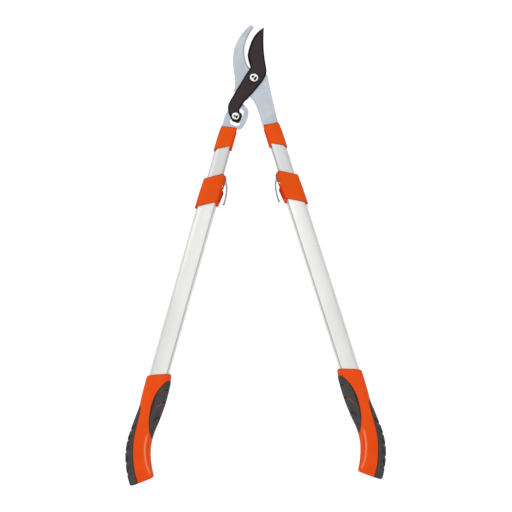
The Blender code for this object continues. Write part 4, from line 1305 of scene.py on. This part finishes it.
def coil():
    """A helix round the latch pin: a small circle carried round 3.5 turns while it climbs evenly."""
    wire = 0.32
    radius = LATCH_PIN_RADIUS + 0.6
    turn = np.linspace(0, 2 * np.pi * 3.5, 100)[:, None]
    climb = np.linspace(-2.8, 2.8, 100)[:, None]
    around = np.arange(12) * 2 * np.pi / 12
    reach = radius + wire * np.cos(around)
    flat = [LATCH_U + reach * np.cos(turn), LATCH_V + reach * np.sin(turn)]
    return shell(np.stack([*flat, climb + wire * np.sin(around)], axis=-1))


# ---------------------------------------------------------------- grips


GRIP_ROWS = 220
OUTER_PATH = smooth_path(GRIP_OUTER_LINE, 24)
INNER_PATH = smooth_path(GRIP_INNER_LINE, 24)
GRIP_STATION = np.linspace(0, 0.9925, GRIP_ROWS)
PATH_STATION = np.linspace(0, 1, len(OUTER_PATH))
GRIP_OUTER = np.column_stack([np.interp(GRIP_STATION, PATH_STATION, OUTER_PATH[:, k]) for k in (0, 1)])
GRIP_INNER = np.column_stack([np.interp(GRIP_STATION, PATH_STATION, INNER_PATH[:, k]) for k in (0, 1)])
GRIP_MIDDLE = (GRIP_OUTER + GRIP_INNER) / 2
GRIP_HALF = (GRIP_INNER - GRIP_OUTER) / 2
GRIP_HALF_LENGTH = np.linalg.norm(GRIP_HALF, axis=1)


def share_of(line, beyond):
    """For each grip row, where a boundary line crosses it, from -1 at the outer edge to 1 at the inner.

    The crossing is found in turns: the row's v at a guess gives the line's u, which gives the next guess.
    Rows past either end of the line get the value beyond.
    """
    path = smooth_path(line, 16)
    share = np.zeros(GRIP_ROWS)
    for _ in range(40):
        v = GRIP_MIDDLE[:, 1] + share * GRIP_HALF[:, 1]
        u = np.interp(v, path[:, 1], path[:, 0])
        share = 0.5 * share + 0.5 * np.clip((u - GRIP_MIDDLE[:, 0]) / GRIP_HALF[:, 0], -1.2, 1.2)
    past = (v < path[0, 1]) | (v > path[-1, 1])
    return np.where(past, beyond, share)


def turn_of(share):
    """The angle round a section at which its share of the half width is reached."""
    share = np.clip(share, -1, 1)
    return np.arccos(np.sign(share) * np.abs(share) ** (GRIP_ROUNDNESS / 2))


def from_ridge(u, v):
    """How far a point lies from the ridge on the lower grip, and how strong the ridge is there.

    The distance is measured across the grip's usual slant, and is positive on the inner side. The
    strength is 1 along most of the ridge and fades out at both ends.
    """
    path = smooth_path(RIDGE_LINE, 12)
    line_u = np.interp(v, path[:, 1], path[:, 0])
    return (u - line_u) * RIDGE_SLANT, past(v, 536.0, 12.0) * short_of(v, 608.0, 10.0)


def crease(u, v):
    """How far the face is let down beside the ridge that runs down the lower grip.

    The ridge stays at full height. Away from it the face drops as 1 - exp(-(d / 3) squared), on the
    inner side more than on the outer, and the drop fades out at both ends of the ridge.
    """
    distance, fade = from_ridge(u, v)
    fall = 1 - np.exp(-((distance / 3.0) ** 2))
    amount = np.where(distance > 0, 1.5, 0.7 * np.exp(-((distance / 9.0) ** 2)))
    return fall * amount * fade


def ridge_highlight(u, v):
    """A painted highlight: a thin line on the ridge, 1 at its middle and fading as exp(-(d / 1.1) squared).
    """
    distance, fade = from_ridge(u, v)
    return np.exp(-((distance / 1.1) ** 2)) * fade


CROWN_FADE = short_of(GRIP_MIDDLE[:, 1], 455.0, 14.0)


def crown_at(across):
    """How far the grip's top edge rises, at a share t of its half width: 0.6 + 2.6 (1 - t^4)."""
    return 0.6 + 2.6 * (1 - np.clip(across, -1, 1) ** 4)


def hull(angle, inset, rows=slice(None)):
    """Points of the grip at angles round each row, moved inwards by an inset.

    Across, a row runs from its middle by the half vector times sign(c) |c|^(2/n). In height it is the
    half depth times sign(s) |s|^(2/n), held under the flat by w / (1 + |w/flat|^k)^(1/k). The rows
    near the top are drawn up towards the tube in a crown, 1 - t^4 across the grip.
    """
    middle, half, length = GRIP_MIDDLE[rows], GRIP_HALF[rows], GRIP_HALF_LENGTH[rows]
    c, s = np.cos(angle), np.sin(angle)
    across = np.sign(c) * np.abs(c) ** (2 / GRIP_ROUNDNESS) * (1 - inset / length[:, None])
    u = middle[:, :1] + half[:, :1] * across
    v = middle[:, 1:] + half[:, 1:] * across
    v = v - CROWN_FADE[rows, None] * crown_at(across)
    w = np.sign(s) * np.abs(s) ** (2 / GRIP_ROUNDNESS) * (GRIP_HALF_DEPTH - crease(u, v) - inset)
    flat = GRIP_FLAT - inset - crease(u, v)
    return np.stack([u, v, w / (1 + np.abs(w / flat) ** 10) ** 0.1], axis=-1)


PAD_SHARE = share_of(PAD_LINE, 1.2)
STRIP_SHARE = share_of(STRIP_LINE, -1.2)
NARROWEST = 0.985
PAD_ROWS = PAD_SHARE < NARROWEST
STRIP_ROWS = STRIP_SHARE > -NARROWEST
PAD_TURN = turn_of(np.clip(PAD_SHARE, -1, NARROWEST))
STRIP_TURN = turn_of(np.clip(STRIP_SHARE, -NARROWEST, 1))
END_ROUND = 3.2
TOP_ROUND = 1.4
SKIN = 0.45
RECESS = 1.9
PART_FLOOR = 1.6


def end_inset():
    """Insets that round both ends of the grip over: a quarter circle at the lower end, less at the top."""
    run = np.concatenate([[0], np.cumsum(np.linalg.norm(np.diff(GRIP_MIDDLE, axis=0), axis=1))])
    to_end = np.clip((run[-1] - run) / END_ROUND, 0, 1)
    to_top = np.clip(run / TOP_ROUND, 0, 1)
    lower = END_ROUND * (1 - np.sqrt(1 - (1 - to_end) ** 2))
    upper = TOP_ROUND * (1 - np.sqrt(1 - (1 - to_top) ** 2))
    return (0.85 * lower + upper)[:, None] + SKIN


END_INSET = end_inset()


def make_grip_body(side):
    """The orange grip: a full hull whose columns follow the two boundaries, sunk where soft parts lie.

    Half way round, columns run from the inner flank to the pad's boundary, on to the strip's boundary
    and on to the outer flank. Between a boundary and its nearest column lies the wall of the recess.
    Painted shade darkens both flanks and both ends, and a painted highlight runs along the ridge.
    """
    zone_a = np.concatenate([np.linspace(0, 0.94, 10), [0.985, 1.0]])
    zone_b = np.linspace(0, 1, 34)[1:-1]
    zone_c = 1 - zone_a[::-1]
    turn = np.concatenate([
        PAD_TURN[:, None] * zone_a,
        PAD_TURN[:, None] + (STRIP_TURN - PAD_TURN)[:, None] * zone_b,
        STRIP_TURN[:, None] + (np.pi - STRIP_TURN)[:, None] * zone_c,
    ], axis=1)
    pad = np.concatenate([np.ones(11), [0.12], np.zeros(len(zone_b) + len(zone_c))])
    strip = np.concatenate([np.zeros(len(zone_a) + len(zone_b)), [0.12], np.ones(11)])
    inset = RECESS * (PAD_ROWS[:, None] * pad + STRIP_ROWS[:, None] * strip)
    angle = np.concatenate([turn, -turn[:, -2:0:-1]], axis=1)
    inset = np.concatenate([inset, inset[:, -2:0:-1]], axis=1) + END_INSET
    body = shell_rows_with_socket(hull(angle, inset))
    # The edge mask is a painted highlight along the ridge.
    body.edge = ridge_highlight(*body.points[:, :2].T)
    across = np.abs(np.cos(angle)) ** (2 / GRIP_ROUNDNESS)
    near_end = np.maximum(past(GRIP_STATION, 0.966, 0.020), short_of(GRIP_STATION, 0.010, 0.008))
    # Painted shade: darker along both flanks and at both ends.
    deeper = np.maximum(0.85 * past(across, 0.90, 0.07), 0.6 * near_end[:, None])
    body.deep = np.concatenate([deeper[::-1], np.zeros((2, deeper.shape[1]))]).ravel()
    make_piece(
        side.name + "_grip", [body], side, GRIP_ORANGE, side.handle, "orange_plastic",
        side.name + "_grip_body",
    )


def shell_rows_with_socket(points):
    """Closes the grip round the tube: from its top edge into a socket whose floor is below the tube's end."""
    top = points[0]
    half_width = OUTER_TUBE[0] + GAP
    angle = np.arctan2(top[:, 2] / GRIP_HALF_DEPTH, (top[:, 0] - top[:, 0].mean()) / GRIP_TOP_HALF)
    u, w = superellipse(angle, half_width, half_width, OUTER_TUBE[1] + GAP, TUBE_ROUNDNESS)
    rim = np.column_stack([u, 440.2 - 0.35 * u - crown_at(u / GRIP_TOP_HALF), w])
    floor = np.column_stack([u, np.full(len(u), OUTER_END + 1.0), w])
    return shell(np.concatenate([points[::-1], rim[None], floor[None]]))


def soft_part(rows, centre_turn, half_turn, proud, grooves, end_slab=False):
    """A rubber part on the hull between two boundaries, as thick as its recess and rounded at its rim.

    Across a row, q runs from -1 to 1 and the angle is centre + q times the half angle, less a gap. The
    outer face stands proud, sinks at the rim as |q|^10 and dips in the grooves. The inner face is sunk,
    and where the part wraps round the grip's foot, end_slab draws its last rows straight across.
    """
    q = np.sin(np.linspace(-np.pi / 2, np.pi / 2, 81)) * 0.35 + np.linspace(-1, 1, 81) * 0.65
    length = GRIP_HALF_LENGTH[rows, None]
    angle = centre_turn + q * (half_turn[rows, None] - 0.16 / length)
    fade = np.minimum(1, half_turn[rows, None] / 0.5)
    rim = 0.45 * np.abs(q) ** 10 * fade
    flat = hull(angle, np.zeros_like(angle), rows)
    cut, glint = grooves(flat[..., 0], flat[..., 1])
    outer = hull(angle, END_INSET[rows] + rim - proud + 1.3 * cut, rows)
    inner = hull(angle, END_INSET[rows] + PART_FLOOR + 0 * angle, rows)
    if end_slab:
        near_end = np.arange(len(angle)) >= len(angle) - 6
        chord_share = (q[None] + 1) / 2
        chord = inner[:, :1] * (1 - chord_share[..., None]) + inner[:, -1:] * chord_share[..., None]
        inner = np.where(near_end[:, None, None], chord, inner)
    grid = np.concatenate([outer, inner[:, ::-1]], axis=1)
    blank = np.zeros_like(cut)
    border = 0.7 * past(np.abs(q), 0.93, 0.05) * (half_turn[rows, None] > 0.25)
    # Painted shade in the grooves, and darker along the part's border.
    deep = np.concatenate([np.clip(np.maximum(cut * 1.6, border), 0, 1), blank], axis=1)
    edge = np.concatenate([np.abs(q) ** 6 + 0 * cut, blank], axis=1)
    return shell(grid, deep=deep, edge=edge, under=np.concatenate([glint, blank], axis=1))


def finger_grooves(u, v):
    """Three curved grooves, at v = start + bend (edge - u) squared, that fade out towards the middle.

    Towards their inner ends the orange of the grip shows through, most in the upper two.
    """
    edge = np.interp(v, INNER_PATH[:, 1], INNER_PATH[:, 0])
    inward = np.clip(edge - u, 0, None)
    depth = np.zeros_like(u)
    glint = np.zeros_like(u)
    for start, bend, reach, bright in (
        (457.6, 0.085, 11.0, 0.55), (479.6, 0.075, 13.5, 0.95), (506.6, 0.105, 10.0, 0.14),
    ):
        slope = 2 * bend * inward
        distance = (v - start - bend * inward**2) / np.sqrt(1 + slope**2)
        at_edge = 0.35 + 0.65 * past(inward, 0.0, 2.0)
        shape = np.exp(-((distance / 0.95) ** 4)) * short_of(inward, reach, 2.0) * at_edge
        depth = np.maximum(depth, shape)
        inner_part = past(inward, 3.0, 3.0) * past(distance, -0.9, 0.9)
        glint = np.maximum(glint, bright * shape * inner_part)
    return depth, glint


def strip_grooves(u, v):
    """Five slanted grooves from the outer edge, at v = start - lean times the distance from that edge."""
    edge = np.interp(v, OUTER_PATH[:, 1], OUTER_PATH[:, 0])
    inward = np.clip(u - edge, 0, None)
    depth = np.zeros_like(u)
    for start, lean in ((541.0, 2.1), (559.3, 2.2), (579.0, 2.2), (598.5, 2.5), (615.0, 2.8)):
        distance = (v - start + lean * inward) / math.sqrt(1 + lean**2)
        across = np.where(inward < 0.5, (v - start) * 0.6, distance)
        shape = np.exp(-((across / 1.1) ** 4)) * short_of(inward, 5.4, 1.0)
        depth = np.maximum(depth, shape)
    return depth, 0.07 * depth


def make_grip(side):
    """The grip body, with the finger pad round its inner edge and the strip round its back."""
    make_grip_body(side)
    pad = soft_part(PAD_ROWS, 0.0, PAD_TURN, 0.10, finger_grooves)
    make_piece(
        side.name + "_finger_cushion", [pad], side, RUBBER, side.handle, "black_rubber",
        side.name + "_finger_pad",
    )
    strip = soft_part(STRIP_ROWS, np.pi, np.pi - STRIP_TURN, 0.05, strip_grooves, end_slab=True)
    make_piece(
        side.name + "_back_cushion", [strip], side, RUBBER, side.handle, "black_rubber",
        side.name + "_back_strip",
    )


def make_hidden_parts(side):
    """The pins through tube and tang, and the plug in the inner tube's end."""
    for node, name, material, slot in (
        ("_upper_tang_pin", "_upper_cross_pin", BLACK_STEEL, "black_steel"),
        ("_lower_tang_pin", "_lower_cross_pin", BLACK_STEEL, "black_steel"),
        ("_inner_tube_plug", "_guide_plug", NYLON, "black_plastic"),
    ):
        soften(side.name + node, side.name + name, 0.3, side, material, side.arm)


# ---------------------------------------------------------------- studio


PICTURE_WIDTH = 0.8704
LENS = 180.0
FLOOR_HALF = 12.0
FLOOR_Z = -0.0004
FLOOR_GREY = (0.42, 0.42, 0.42, 1)
WHITE = (1, 1, 1, 1)


def make_studio():
    """A pale floor, a sky that is brighter overhead, one soft key light, and the camera straight above."""
    floor_mesh = bpy.data.meshes.new("studio_floor")
    corners = [(x * FLOOR_HALF, y * FLOOR_HALF, FLOOR_Z) for x, y in ((-1, -1), (1, -1), (1, 1), (-1, 1))]
    floor_mesh.from_pydata(corners, [], [(0, 1, 2, 3)])
    floor = bpy.data.objects.new("studio_floor", floor_mesh)
    bpy.context.scene.collection.objects.link(floor)
    material, _, shader = start_material("pale_floor", Roughness=0.9, Specular_IOR_Level=0.0)
    shader.inputs["Base Color"].default_value = FLOOR_GREY
    shader.inputs["Emission Color"].default_value = WHITE
    shader.inputs["Emission Strength"].default_value = 0.86
    floor_mesh.materials.append(material)

    world = bpy.data.worlds.new("studio_sky")
    bpy.context.scene.world = world
    world.use_nodes = True
    tree = Tree(world.node_tree)
    background = world.node_tree.nodes["Background"]
    direction = tree.node("SeparateXYZ", {0: tree.node("TexCoord").outputs["Generated"]})
    height = tree.node("Math", {0: direction.outputs["Z"], 1: 0.0}, operation="MAXIMUM").outputs[0]
    lit = tree.between(height, 0.1, 0.95, 0.34, 1.08)
    seen = tree.node("LightPath").outputs["Is Camera Ray"]
    strength = tree.node("Mix", {0: seen, 2: lit, 3: 1.0}, data_type="FLOAT").outputs[0]
    world.node_tree.links.new(strength, background.inputs["Strength"])
    background.inputs["Color"].default_value = WHITE

    key = bpy.data.lights.new("key_softbox", "AREA")
    key.shape = "RECTANGLE"
    key.size = 2.4
    key.size_y = 2.0
    key.energy = 20.0
    lamp = bpy.data.objects.new("key_softbox", key)
    lamp.location = (-1.5, 1.7, 2.3)
    lamp.rotation_euler = (math.radians(-36), math.radians(-33), 0.0)
    bpy.context.scene.collection.objects.link(lamp)

    low, high = cad_box
    centre = (low + high) / 2
    camera_data = bpy.data.cameras.new("camera")
    camera_data.lens = LENS
    camera_data.sensor_width = 36.0
    camera_data.clip_end = 60.0
    camera = bpy.data.objects.new("camera", camera_data)
    distance = PICTURE_WIDTH / 2 * LENS / (camera_data.sensor_width / 2)
    camera.location = (centre.x + 0.0006, centre.y - 0.0011, centre.z + distance)
    bpy.context.scene.collection.objects.link(camera)
    bpy.context.scene.camera = camera
    bpy.context.scene.view_settings.view_transform = "Standard"


make_hook()
make_blade()
make_fasteners()
for one_side in (LEFT, RIGHT):
    make_tubes(one_side)
    make_tang_collar(one_side)
    make_latch_collar(one_side)
    make_lever(one_side)
    make_grip(one_side)
    make_hidden_parts(one_side)
make_studio()
